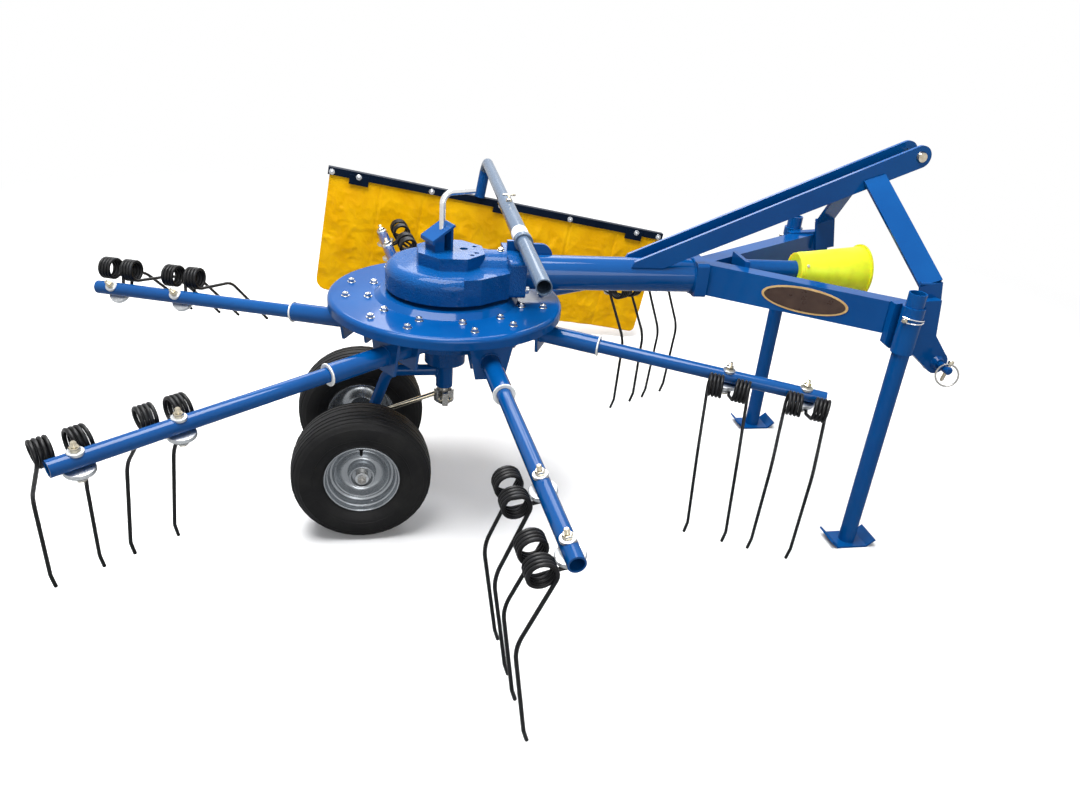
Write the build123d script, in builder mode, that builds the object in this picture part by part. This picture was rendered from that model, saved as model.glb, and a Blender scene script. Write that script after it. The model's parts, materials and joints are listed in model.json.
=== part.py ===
"""Single-rotor hay rake for a three-point linkage.

+X points ahead to the tractor, +Y to the left (the curtain's side) and +Z up. The origin is
the centre of the machine's footprint, on the ground. Lengths are millimetres.
"""
import os
from math import acos, asin, atan2, cos, degrees, hypot, radians, sin, sqrt, tan

from build123d import *

os.makedirs("parts", exist_ok=True)

# ---------------------------------------------------------------- sizes
# Rotor axis, from the origin
rotor_x = -185.5
rotor_y = -75.0
seat = 0.3                      # gap of a close seat between two pieces
slip = 0.3                      # radial gap of a tube that slides or turns in another

# Main tube and gearbox casting
tube_height = 697.5             # axis of the main tube over the ground
tube_radius = 47.5
tube_wall = 5.0
casting_bottom = tube_height - 44.5
drum_radius = 165.0
drum_height = 70.0
drum_round = 30.0
neck_columns = ("ahead", "half_width")
neck_table = (
    (30.0, 162.0),
    (75.0, 150.0),
    (115.0, 122.0),
    (157.0, 95.0),
)
flange_ahead = 157.0            # rear face of the casting's flange, from the rotor axis
flange_thick = 45.0
flange_width = 190.0
flange_round = 10.0
flange_top = tube_height + 54.5
spigot_radius = 58.0            # round neck of the casting between its boss and its flange
boss_ahead = 8.0                # middle of the octagonal boss, from the rotor axis
boss_across = 176.0
boss_top = tube_height + 58.5
boss_hole_depth = 10.0
boss_hole_columns = ("ahead", "left", "radius")
boss_hole_table = (
    (44.0, 7.0, 11.0),
    (75.0, 28.0, 6.5),
    (74.0, -29.0, 6.5),
    (60.0, -49.0, 6.5),
)
shaft_tube_radius = 35.0        # fixed hollow shaft that the rotor turns on
shaft_tube_bottom = casting_bottom - 198.0
column_bore_top = tube_height - 7.5

# Hood and crank on the casting: along the hood from the crank, and height
hood_heading = 23.0             # of the hood, from straight ahead
hood_width = 70.0
hood_left = 4.0                 # middle of the hood, from the crank
hood_thick = 6.0
hood_low = (-40.0, boss_top + 31.0)
hood_high = (21.0, boss_top + 68.0)
hood_lip = 7.0
hood_inset = 7.0                # of the walls, from the edges of the sloping top
hood_door = 20.0
crank_radius = 8.0
crank_ahead = -16.0
crank_top = boss_top + 149.0
crank_bend = 28.0
crank_reach = 95.0
crank_heading = 25.0

# Stand legs
leg_ahead = 1188.0
leg_radius = 24.0
leg_wall = 4.0
leg_top = tube_height + 89.5
sleeve_radius = 30.0
sleeve_bottom = tube_height - 77.5
sleeve_top = tube_height + 52.5
foot_length = 96.0
foot_width = 80.0
foot_thick = 6.0
foot_tip = 34.0
foot_tip_angle = 42.0

# Hitch frame
apex_ahead = leg_ahead - 465.0  # where the centre lines of the two side members meet
apex_block_rear = apex_ahead - 23.0
apex_block_front = apex_ahead + 12.0
member_angle = 33.9             # of each side member, from straight ahead
member_width = 50.0
member_height = 90.0
member_wall = 5.0
hitch_shoulder = 341.5          # outer face of the hitch plates, from the centre line
hitch_thick = 25.0
pin_ahead = leg_ahead + 144.0   # lower hitch pins
pin_height = 575.0
plate_nose = ((-28.0, 80.0), (20.0, 25.0))      # corners of a hitch plate, from its pin
plate_throat = (-24.0, -22.0)
plate_crown = ((100.0, 59.5), (-36.0, 47.5))    # from the leg and the main tube's axis
plate_heel = ((-36.0, -67.5), (-20.0, -79.5), (44.0, -85.5))
pin_radius = 11.0
pin_length = 62.0
pin_collar_radius = 21.0
pin_collar_length = 14.0
pin_nose_radius = 33.0
pin_nose_turn = -30.0

# Mast and braces
mast_pin_ahead = pin_ahead - 19.0
mast_pin_height = 1071.0
mast_nose_radius = 31.0
mast_inner = 31.0               # inner face of the mast plates, from the centre line
mast_thick = 10.0
mast_base_rear = apex_ahead - 216.0
mast_base_front = mast_base_rear + 93.0
mast_base_height = tube_height + 32.0
mast_base_edge = 16.0
top_pin_radius = 9.5
top_pin_head = 16.0
brace_width = 65.0
brace_thick = 10.0
brace_top = (mast_pin_ahead - 129.0, mast_pin_height - 65.0)
brace_bend = (leg_ahead + 74.0, tube_height + 94.5)
brace_foot = (leg_ahead + 94.0, tube_height + 2.5)

# Drive shaft input and its cone
drive_height = tube_height + 24.5
drive_plate_rear = apex_ahead + 117.0
drive_plate_thick = 12.0
drive_tube_radius = 27.0
drive_tube_front = drive_plate_rear + 210.0
stub_radius = 17.45
stub_length = 80.0
guard_rear = drive_tube_front - 28.0
guard_front = guard_rear + 214.0
guard_small_radius = 50.0
guard_mouth_radius = 74.0
guard_wall = 4.0
guard_lip = 6.0

# Rotor disc and bell
disc_radius = 318.0
disc_top = casting_bottom - 26.0
disc_thick = 10.0
disc_lip = 30.0
disc_round = 12.0
collar_radius = 195.0
collar_height = 14.0
collar_slope = 16.0
arm_height = disc_top - 77.0    # of each arm's line, at the rotor axis
bell_radius = 150.0
bell_bottom = arm_height - 40.0
neck_ring_radius = 57.0
neck_ring_bottom = arm_height - 120.0

# Tine arms
arm_offset = 74.4               # of each arm's line, sideways from the rotor axis
arm_droop = 3.16
arm_radius = 19.0
arm_wall = 4.0
arm_inner = 130.0               # distances along the arm's line
arm_outer = 1060.0
housing_radius = 26.0
housing_outer = 424.0
housing_end_wall = 10.0
housing_plate_thick = 8.0
housing_plates = (185.0, 252.0)
housing_plate_top_width = 130.0
housing_plate_bottom_width = 76.0
housing_plate_bottom = arm_height - 60.0
ring_radius = 29.5
ring_length = 6.5

# Spring tines, in the plane across their arm: back from the arm, and down from it
wire_radius = 4.25
coil_radius = 28.0              # of the wire's centre line
coil_back = 67.0
coil_down = 2.0
coil_length = 42.0
coil_spacing = 40.6             # of each coil, from the middle of the pair
tine_side = 51.3                # of each tine, from the middle of the pair
knee = (143.5, 157.0)
knee_bend = 110.0
knee_share = 0.4                # of a pair's splay that is reached at the knee
toe = (161.0, 394.0)
toe_bend = 14.0
tip = (158.5, 430.0)
tip_inward = 4.0
clamp_radius = 32.0             # round clamping plate under the arm
clamp_thick = 14.7
clamp_round = 6.0
clamp_slope = 42.0
clamp_along = -8.0              # of the plate and its bolt, from the middle of the pair
link_half = 14.0                # the wire's middle loop, round the bolt
link_front = -14.0
link_back = 36.0
link_bend = 13.0

# Each pair of tines with how far its tips lean outward along the arm
pair_columns = ("place", "splay")
pair_table = (
    (800.8, 37.5),
    (1011.8, 8.4),
)

# Each arm with its angle from straight ahead and how far the cam has rolled its tines up
arm_columns = ("name", "angle", "roll")
arm_table = (
    ("front_right", -25.8, -3.0),
    ("right", -85.8, -12.7),
    ("rear_right", -145.8, 4.6),
    ("rear_left", 154.2, 42.9),
    ("left", 94.2, 18.0),
    ("front_left", 34.2, -7.7),
)

# Wheel carriage and wheels
column_radius = 24.0
column_bottom = 352.0
column_top = column_bore_top - 70.0
column_foot_bottom = 298.0
column_foot_radius = 19.0
clamp_ring_radius = 29.0
clamp_ring_low = 306.0
clamp_ring_high = 345.0
link_tube_radius = 16.0
link_tube_height = 400.0
link_tube_bend_back = 158.0
link_tube_bend = 42.0
axle_back = 236.0
axle_height = 187.5
axle_beam_radius = 20.0
axle_beam_half = 112.0
axle_radius = 12.5
axle_half = 238.0
rod_radius = 7.0
rod_meets = 0.33                # of the way up the link tube's lower run
wheel_side = 191.0
tyre_radius = 187.5
tyre_width = 142.0
tyre_widest = 144.0            # radius where the tyre is widest
rim_radius = 101.0
barrel_radius = 88.0
rim_width = 104.0
rim_wall = 4.0
hub_radius = 30.0
hub_length = 84.0

# Curtain and its arm
sleeve_ahead = 206.0            # of the arm's axis, over the main tube
sleeve_height = tube_height + 80.5
sleeve_turn = 2.46              # of the arm, ahead from straight across
sleeve_dip = 1.6
sleeve_outer_radius = 23.5
sleeve_lip_radius = 25.0
sleeve_lip_length = 30.0
sleeve_right = 0.0
sleeve_left = 510.0
cradle_rear = 163.0
cradle_rear_height = tube_height + 81.5
cradle_front = 291.0
cradle_height = tube_height + 74.5
cradle_right = 14.0
cradle_thick = 12.0
cradle_bend = 34.0
curtain_tube_radius = 20.0
curtain_tube_wall = 3.0
curtain_tube_right = -387.0
curtain_side = 1200.0
curtain_bend = 55.0
curtain_swing = 9.0             # the arm has turned this far in its sleeve
bar_drop = 141.2
bar_rear = -587.3
bar_front = 801.7
bar_height = 28.0
bar_flange = 26.0
bar_thick = 5.0
bar_rear_inset = 6.0
cloth_rear = -580.3
cloth_front = 793.7
cloth_bottom = 604.2
cloth_thick = 5.0
cloth_rear_sag = 28.0
cloth_front_rise = 10.0
cloth_rear_corner = 45.0
cloth_front_corner = 20.0


# ---------------------------------------------------------------- places
def at(ahead, left, height):
    """A point given from the foot of the rotor axis."""
    return Vector(rotor_x + ahead, rotor_y + left, height)


def level(height):
    """A horizontal plane centred on the rotor axis."""
    return Plane(origin=at(0, 0, height))


def side_plane(left):
    """An upright plane along the machine: its x is ahead and its y is the height."""
    return Plane(origin=at(0, left, 0), x_dir=(1, 0, 0), z_dir=(0, -1, 0))


def cross_plane(ahead, height):
    """An upright plane across the machine, facing ahead: its x is left and its y is up."""
    return Plane(origin=at(ahead, 0, height), x_dir=(0, 1, 0), z_dir=(1, 0, 0))


def hood_plane(left):
    """An upright plane along the hood from the crank: its x is ahead and its y is the height."""
    turn = radians(hood_heading)
    heading = Vector(cos(turn), sin(turn), 0)
    beside = Vector(-sin(turn), cos(turn), 0)
    return Plane(origin=at(crank_ahead, 0, 0) + beside * left, x_dir=heading, z_dir=-beside)


def sleeve_plane(left):
    """A plane across the curtain arm's axis, at a distance along it from the main tube."""
    turn = radians(sleeve_turn)
    dip = radians(sleeve_dip)
    axis = Vector(sin(turn) * cos(dip), cos(turn) * cos(dip), -sin(dip))
    return Plane(origin=at(sleeve_ahead, 0, sleeve_height) + axis * left, z_dir=axis)


def arm_plane(angle, roll, along):
    """A plane across a tine arm: its x is back from the arm and its y is down."""
    turn = radians(angle)
    droop = radians(arm_droop)
    axis = Vector(cos(turn) * cos(droop), sin(turn) * cos(droop), -sin(droop))
    start = at(-arm_offset * sin(turn), arm_offset * cos(turn), arm_height)
    back = Vector(sin(turn), -cos(turn), 0)
    lifted = back * cos(radians(roll)) - axis.cross(back) * sin(radians(roll))
    return Plane(origin=start + axis * along, x_dir=lifted, z_dir=axis)


# ---------------------------------------------------------------- gearbox and main tube
neck_outline = [(ahead, -half_width) for ahead, half_width in neck_table]
neck_outline += [(ahead, half_width) for ahead, half_width in reversed(neck_table)]
flange_height = flange_top - casting_bottom
with BuildPart() as gearbox:
    with BuildSketch(level(casting_bottom)):
        Circle(drum_radius)
    extrude(amount=drum_height)
    fillet(gearbox.edges().filter_by(GeomType.CIRCLE).sort_by(Axis.Z)[-1], drum_round)
    with BuildSketch(level(casting_bottom)):
        Polygon(*neck_outline, align=None)
    extrude(amount=drum_height)
    with BuildSketch(level(casting_bottom)):
        with Locations((boss_ahead, 0)):
            RegularPolygon(boss_across / 2, 8, major_radius=False, rotation=22.5)
    extrude(amount=boss_top - casting_bottom)
    with BuildSketch(cross_plane(boss_ahead, tube_height)):
        Circle(spigot_radius)
        with Locations((0, casting_bottom - tube_height + spigot_radius)):
            Rectangle(2 * spigot_radius, 2 * spigot_radius, mode=Mode.INTERSECT)
    extrude(amount=flange_ahead - boss_ahead)
    with BuildSketch(cross_plane(flange_ahead, casting_bottom + flange_height / 2)):
        RectangleRounded(flange_width, flange_height, flange_round)
    extrude(amount=flange_thick)
    with BuildSketch(level(shaft_tube_bottom)):
        Circle(shaft_tube_radius)
    extrude(amount=casting_bottom - shaft_tube_bottom + 1)
    with BuildSketch(level(shaft_tube_bottom)):
        Circle(column_radius + slip)
    extrude(amount=column_bore_top - shaft_tube_bottom, mode=Mode.SUBTRACT)
    with BuildSketch(level(boss_top)):
        for ahead, left, radius in boss_hole_table:
            with Locations((ahead, left)):
                Circle(radius)
    extrude(amount=-boss_hole_depth, mode=Mode.SUBTRACT)
gearbox.part.label = "gearbox"
export_step(gearbox.part, "parts/gearbox.step")

main_tube_rear = flange_ahead + flange_thick
with BuildPart() as main_tube:
    with BuildSketch(cross_plane(main_tube_rear, tube_height)):
        Circle(tube_radius)
        Circle(tube_radius - tube_wall, mode=Mode.SUBTRACT)
    extrude(amount=apex_block_rear - main_tube_rear)
main_tube.part.label = "main_tube"
export_step(main_tube.part, "parts/main_tube.step")

# ---------------------------------------------------------------- hood and crank
hood_slope = (hood_high[1] - hood_low[1]) / (hood_high[0] - hood_low[0])
hood_inner = hood_width / 2 - hood_inset


def under_hood(ahead):
    """The height of the middle of the hood's sloping top."""
    return hood_low[1] + hood_slope * (ahead - hood_low[0])


with BuildPart() as hood:
    with BuildSketch(hood_plane(hood_left + hood_inner)):
        Polygon(
            (hood_low[0] + hood_inset, boss_top),
            (hood_high[0], boss_top),
            (hood_high[0], under_hood(hood_high[0])),
            (hood_low[0] + hood_inset, under_hood(hood_low[0] + hood_inset)),
            align=None,
        )
    extrude(amount=2 * hood_inner)
    with BuildSketch(hood_plane(hood_left + hood_inner - hood_thick)):
        Polygon(
            (hood_low[0] + hood_inset + hood_thick, boss_top),
            (hood_high[0] - hood_thick, boss_top),
            (hood_high[0] - hood_thick, under_hood(hood_high[0] - hood_thick)),
            (hood_low[0] + hood_inset + hood_thick, under_hood(hood_low[0] + hood_inset + hood_thick)),
            align=None,
        )
    extrude(amount=2 * hood_inner - 2 * hood_thick, mode=Mode.SUBTRACT)
    door_rear = hood_high[0] - hood_thick - hood_door
    with BuildSketch(hood_plane(hood_left)):
        Polygon(
            (door_rear, boss_top),
            (door_rear + hood_door, boss_top),
            (door_rear + hood_door, under_hood(door_rear + hood_door)),
            (door_rear, under_hood(door_rear)),
            align=None,
        )
    extrude(amount=hood_width, mode=Mode.SUBTRACT)
    with BuildSketch(hood_plane(hood_left + hood_width / 2)):
        with BuildLine():
            top = Polyline((hood_low[0], hood_low[1] - hood_lip), hood_low, hood_high)
            offset(top, amount=hood_thick / 2, side=Side.BOTH)
        make_face()
    extrude(amount=hood_width)
    with BuildSketch(Plane(origin=at(crank_ahead, 0, boss_top))):
        Circle(crank_radius + slip)
    extrude(amount=crank_top - boss_top, mode=Mode.SUBTRACT)
hood.part.label = "crank_hood"
export_step(hood.part, "parts/crank_hood.step")

crank_turn = radians(crank_heading)
with BuildPart() as crank:
    with BuildLine() as crank_path:
        FilletPolyline(
            at(crank_ahead, 0, boss_top + seat),
            at(crank_ahead, 0, crank_top),
            at(crank_ahead + crank_reach * cos(crank_turn), crank_reach * sin(crank_turn), crank_top),
            radius=crank_bend,
        )
    with BuildSketch(Plane(origin=at(crank_ahead, 0, boss_top + seat))):
        Circle(crank_radius)
    sweep(path=crank_path.wires()[0])
crank.part.label = "crank"
export_step(crank.part, "parts/crank.step")

# ---------------------------------------------------------------- hitch frame
with BuildPart() as apex_block:
    with BuildSketch(cross_plane(apex_block_rear, tube_height)):
        RectangleRounded(2 * tube_radius + 10, member_height + 8, 10)
    extrude(amount=apex_block_front - apex_block_rear)
apex_block.part.label = "apex_block"
export_step(apex_block.part, "parts/apex_block.step")

plate_front = (pin_ahead + plate_nose[1][0], pin_height + plate_nose[1][1])
plate_under = (pin_ahead + plate_throat[0], pin_height + plate_throat[1])
plate_tip = (
    pin_ahead + pin_nose_radius * cos(radians(pin_nose_turn)),
    pin_height + pin_nose_radius * sin(radians(pin_nose_turn)),
)
plate_corners = [(pin_ahead + plate_nose[0][0], pin_height + plate_nose[0][1])]
plate_corners += [(leg_ahead + ahead, tube_height + up) for ahead, up in plate_crown]
plate_corners += [(leg_ahead + ahead, tube_height + up) for ahead, up in plate_heel]
member_half = member_width / 2
hitch_inner = hitch_shoulder - hitch_thick
member_reach = (hitch_inner + member_width) / sin(radians(member_angle))
for side_name, side in (("right", -1), ("left", 1)):
    member_turn = side * radians(member_angle)
    heading = Vector(cos(member_turn), sin(member_turn), 0)
    with BuildPart() as member:
        with BuildSketch(Plane(origin=at(apex_ahead, 0, tube_height), x_dir=(0, 0, 1), z_dir=heading)):
            Rectangle(member_height, member_width)
            Rectangle(member_height - 2 * member_wall, member_width - 2 * member_wall, mode=Mode.SUBTRACT)
        extrude(amount=member_reach)
        with Locations(at(apex_block_front + member_reach / 2, side * hitch_inner / 2, tube_height)):
            Box(member_reach, hitch_inner, 2 * member_height, mode=Mode.INTERSECT)
    member.part.label = f"hitch_member_{side_name}"
    export_step(member.part, f"parts/hitch_member_{side_name}.step")

    with BuildPart() as hitch_plate:
        with BuildSketch(side_plane(side * hitch_shoulder)):
            with BuildLine():
                Polyline(plate_front, *plate_corners, plate_under)
                ThreePointArc(plate_under, plate_tip, plate_front)
            make_face()
        extrude(amount=side * hitch_thick)
        with BuildSketch(Plane(origin=at(pin_ahead, side * hitch_shoulder, pin_height), z_dir=(0, side, 0))):
            Circle(pin_collar_radius)
        extrude(amount=pin_collar_length, taper=25)
        with BuildSketch(Plane(origin=at(pin_ahead, side * hitch_shoulder, pin_height), z_dir=(0, side, 0))):
            Circle(pin_radius)
        extrude(amount=pin_length)
        chamfer(hitch_plate.edges().filter_by(GeomType.CIRCLE).sort_by(Axis.Y)[0 if side < 0 else -1], 3)
    hitch_plate.part.label = f"hitch_plate_{side_name}"
    export_step(hitch_plate.part, f"parts/hitch_plate_{side_name}.step")

# ---------------------------------------------------------------- mast and braces
for side_name, side in (("right", -1), ("left", 1)):
    with BuildPart() as mast:
        with BuildSketch(side_plane(side * (mast_inner + mast_thick))):
            Polygon(
                (mast_base_rear, mast_base_height),
                (mast_base_front, mast_base_height),
                (mast_base_front, mast_base_height + mast_base_edge),
                (mast_base_rear + mast_base_edge / 2, mast_base_height + mast_base_edge),
                align=None,
            )
            with Locations((mast_pin_ahead, mast_pin_height)):
                Circle(mast_nose_radius)
            make_hull()
            with Locations((mast_pin_ahead, mast_pin_height)):
                Circle(top_pin_radius + slip, mode=Mode.SUBTRACT)
        extrude(amount=side * mast_thick)
        with BuildSketch(cross_plane(mast_base_rear - 10, tube_height)):
            Circle(tube_radius + seat)
        extrude(amount=mast_base_front - mast_base_rear + 60, mode=Mode.SUBTRACT)
    mast.part.label = f"mast_plate_{side_name}"
    export_step(mast.part, f"parts/mast_plate_{side_name}.step")

    upper = at(brace_top[0], side * (mast_inner + mast_thick), brace_top[1])
    bend = at(brace_bend[0], side * (hitch_inner - brace_thick / 2 - seat), brace_bend[1])
    foot = at(brace_foot[0], side * (hitch_inner - brace_thick / 2 - seat), brace_foot[1])
    with BuildPart() as brace:
        for start, end in ((upper, bend), (bend, foot)):
            run = end - start
            with BuildSketch(Plane(origin=start, x_dir=Vector(1, 0, -run.X / run.Z), z_dir=run)):
                Rectangle(brace_width, brace_thick)
            extrude(amount=run.length)
        with BuildSketch(Plane(origin=bend, x_dir=(0, 1, 0), z_dir=(1, 0, 0))):
            Circle(brace_thick / 2)
        extrude(amount=brace_width / 2, both=True)
        with Locations(at(brace_top[0], 0, brace_top[1])):
            Box(4 * brace_width, 2 * (mast_inner + mast_thick + seat), 4 * brace_width, mode=Mode.SUBTRACT)
    brace.part.label = f"brace_{side_name}"
    export_step(brace.part, f"parts/brace_{side_name}.step")

mast_outer = mast_inner + mast_thick
with BuildPart() as top_pin:
    with BuildSketch(Plane(origin=at(mast_pin_ahead, -mast_outer - seat, mast_pin_height), z_dir=(0, 1, 0))):
        Circle(top_pin_radius)
    extrude(amount=2 * mast_outer + 26)
    with BuildSketch(Plane(origin=at(mast_pin_ahead, -mast_outer - seat, mast_pin_height), z_dir=(0, -1, 0))):
        Circle(top_pin_head)
    extrude(amount=8, taper=20)
top_pin.part.label = "top_pin"
export_step(top_pin.part, "parts/top_pin.step")

# ---------------------------------------------------------------- drive input
slope = tan(radians(member_angle))
member_inner_apex = apex_ahead + member_half / sin(radians(member_angle))


def vee(ahead):
    """Half the gap between the side members' inner faces."""
    return (ahead - member_inner_apex) * slope - seat


drive_plate_front = drive_plate_rear + drive_plate_thick
with BuildPart() as drive_tube:
    with BuildSketch(level(tube_height - member_height / 2 + 6)):
        Polygon(
            (drive_plate_rear, -vee(drive_plate_rear)),
            (drive_plate_front, -vee(drive_plate_front)),
            (drive_plate_front, vee(drive_plate_front)),
            (drive_plate_rear, vee(drive_plate_rear)),
            align=None,
        )
    extrude(amount=member_height + 10)
    with BuildSketch(cross_plane(drive_plate_front - 1, drive_height)):
        Circle(drive_tube_radius)
    extrude(amount=drive_tube_front - drive_plate_front + 1)
    with BuildSketch(cross_plane(drive_tube_front, drive_height)):
        Circle(stub_radius)
    extrude(amount=stub_length)
drive_tube.part.label = "drive_input"
export_step(drive_tube.part, "parts/drive_input.step")

with BuildPart() as guard:
    with BuildSketch(Plane(origin=at(guard_rear, 0, drive_height), x_dir=(1, 0, 0), z_dir=(0, -1, 0))):
        guard_long = guard_front - guard_rear
        Polygon(
            (0, drive_tube_radius + slip),
            (0, guard_small_radius),
            (guard_long - guard_lip, guard_mouth_radius),
            (guard_long - guard_lip, guard_mouth_radius + guard_lip),
            (guard_long, guard_mouth_radius + guard_lip),
            (guard_long, guard_mouth_radius - guard_wall),
            (8, guard_small_radius - guard_wall),
            (8, drive_tube_radius + slip),
            align=None,
        )
    revolve(axis=Axis(at(guard_rear, 0, drive_height), (1, 0, 0)))
guard.part.label = "drive_guard"
export_step(guard.part, "parts/drive_guard.step")

# ---------------------------------------------------------------- stand legs
leg_side = hitch_shoulder + seat + sleeve_radius
for side_name, side in (("right", -1), ("left", 1)):
    with BuildPart() as leg_sleeve:
        with BuildSketch(Plane(origin=at(leg_ahead, side * leg_side, sleeve_bottom))):
            Circle(sleeve_radius)
            Circle(leg_radius + slip, mode=Mode.SUBTRACT)
        extrude(amount=sleeve_top - sleeve_bottom)
    leg_sleeve.part.label = f"leg_sleeve_{side_name}"
    export_step(leg_sleeve.part, f"parts/leg_sleeve_{side_name}.step")

    tip_turn = radians(foot_tip_angle)
    tip_out = foot_length / 2 + foot_tip * cos(tip_turn)
    tip_up = foot_tip * sin(tip_turn)
    with BuildPart() as leg:
        with BuildSketch(side_plane(side * leg_side + foot_width / 2).move(Location((leg_ahead, 0, 0)))):
            with BuildLine():
                Polyline(
                    (-foot_length / 2, 0),
                    (foot_length / 2, 0),
                    (tip_out, tip_up),
                    (tip_out - foot_thick * sin(tip_turn), tip_up + foot_thick * cos(tip_turn)),
                    (foot_length / 2 - 2, foot_thick),
                    (-foot_length / 2 + 2, foot_thick),
                    (-tip_out + foot_thick * sin(tip_turn), tip_up + foot_thick * cos(tip_turn)),
                    (-tip_out, tip_up),
                    close=True,
                )
            make_face()
        extrude(amount=foot_width)
        with BuildSketch(Plane(origin=at(leg_ahead, side * leg_side, foot_thick))):
            Circle(leg_radius)
            Circle(leg_radius - leg_wall, mode=Mode.SUBTRACT)
        extrude(amount=leg_top - foot_thick)
    leg.part.label = f"leg_{side_name}"
    export_step(leg.part, f"parts/leg_{side_name}.step")

# ---------------------------------------------------------------- rotor disc and bell
with BuildPart() as disc:
    with BuildSketch(Plane(origin=at(0, 0, 0), x_dir=(1, 0, 0), z_dir=(0, -1, 0))):
        with BuildLine():
            Polyline(
                (disc_radius - disc_round, disc_top),
                (collar_radius, disc_top),
                (collar_radius - collar_slope, disc_top + collar_height),
                (shaft_tube_radius + slip, disc_top + collar_height),
                (shaft_tube_radius + slip, disc_top - disc_thick),
                (disc_radius - disc_thick, disc_top - disc_thick),
                (disc_radius - disc_thick, disc_top - disc_lip),
                (disc_radius, disc_top - disc_lip),
                (disc_radius, disc_top - disc_round),
            )
            RadiusArc((disc_radius, disc_top - disc_round), (disc_radius - disc_round, disc_top), -disc_round)
        make_face()
    revolve(axis=Axis(at(0, 0, 0), (0, 0, 1)))
disc.part.label = "rotor_disc"
export_step(disc.part, "parts/rotor_disc.step")

with BuildPart() as bell:
    with BuildSketch(level(bell_bottom)):
        Circle(bell_radius)
    extrude(amount=disc_top - disc_thick - bell_bottom)
    with BuildSketch(level(neck_ring_bottom)):
        Circle(neck_ring_radius)
    extrude(amount=bell_bottom - neck_ring_bottom + 1)
    with BuildSketch(level(neck_ring_bottom)):
        Circle(shaft_tube_radius + slip)
    extrude(amount=disc_top - neck_ring_bottom, mode=Mode.SUBTRACT)
    for _, angle, roll in arm_table:
        with BuildSketch(arm_plane(angle, 0, arm_inner - seat)):
            Circle(housing_radius + seat)
        extrude(amount=bell_radius, mode=Mode.SUBTRACT)
bell.part.label = "rotor_bell"
export_step(bell.part, "parts/rotor_bell.step")

# ---------------------------------------------------------------- tine arms
with BuildPart() as housings:
    for _, angle, roll in arm_table:
        with BuildSketch(arm_plane(angle, 0, arm_inner)):
            Circle(housing_radius)
        extrude(amount=housing_outer - arm_inner)
        for place in housing_plates:
            turn = radians(angle)
            across = Plane(
                origin=at(
                    place * cos(turn) - arm_offset * sin(turn),
                    place * sin(turn) + arm_offset * cos(turn),
                    0,
                ),
                x_dir=(-sin(turn), cos(turn), 0),
                z_dir=(cos(turn), sin(turn), 0),
            )
            with BuildSketch(across):
                Polygon(
                    (-housing_plate_bottom_width / 2, housing_plate_bottom),
                    (housing_plate_bottom_width / 2, housing_plate_bottom),
                    (housing_plate_top_width / 2, disc_top - disc_thick - seat),
                    (-housing_plate_top_width / 2, disc_top - disc_thick - seat),
                    align=None,
                )
            extrude(amount=housing_plate_thick)
        with BuildSketch(arm_plane(angle, 0, arm_inner + housing_end_wall)):
            Circle(arm_radius + slip)
        extrude(amount=housing_outer, mode=Mode.SUBTRACT)
housings.part.label = "arm_housings"
export_step(housings.part, "parts/arm_housings.step")

with BuildPart() as rings:
    for _, angle, roll in arm_table:
        with BuildSketch(arm_plane(angle, 0, housing_outer + seat)):
            Circle(ring_radius)
            Circle(arm_radius + slip, mode=Mode.SUBTRACT)
        extrude(amount=ring_length)
rings.part.label = "arm_rings"
export_step(rings.part, "parts/arm_rings.step")

arm_start = arm_inner + 1.2 * housing_end_wall
for arm_name, angle, roll in arm_table:
    with BuildPart() as arm:
        with BuildSketch(arm_plane(angle, roll, arm_start)):
            Circle(arm_radius)
            Circle(arm_radius - arm_wall, mode=Mode.SUBTRACT)
        extrude(amount=arm_outer - arm_start)
    arm.part.label = f"tine_arm_{arm_name}"
    export_step(arm.part, f"parts/tine_arm_{arm_name}.step")

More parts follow.
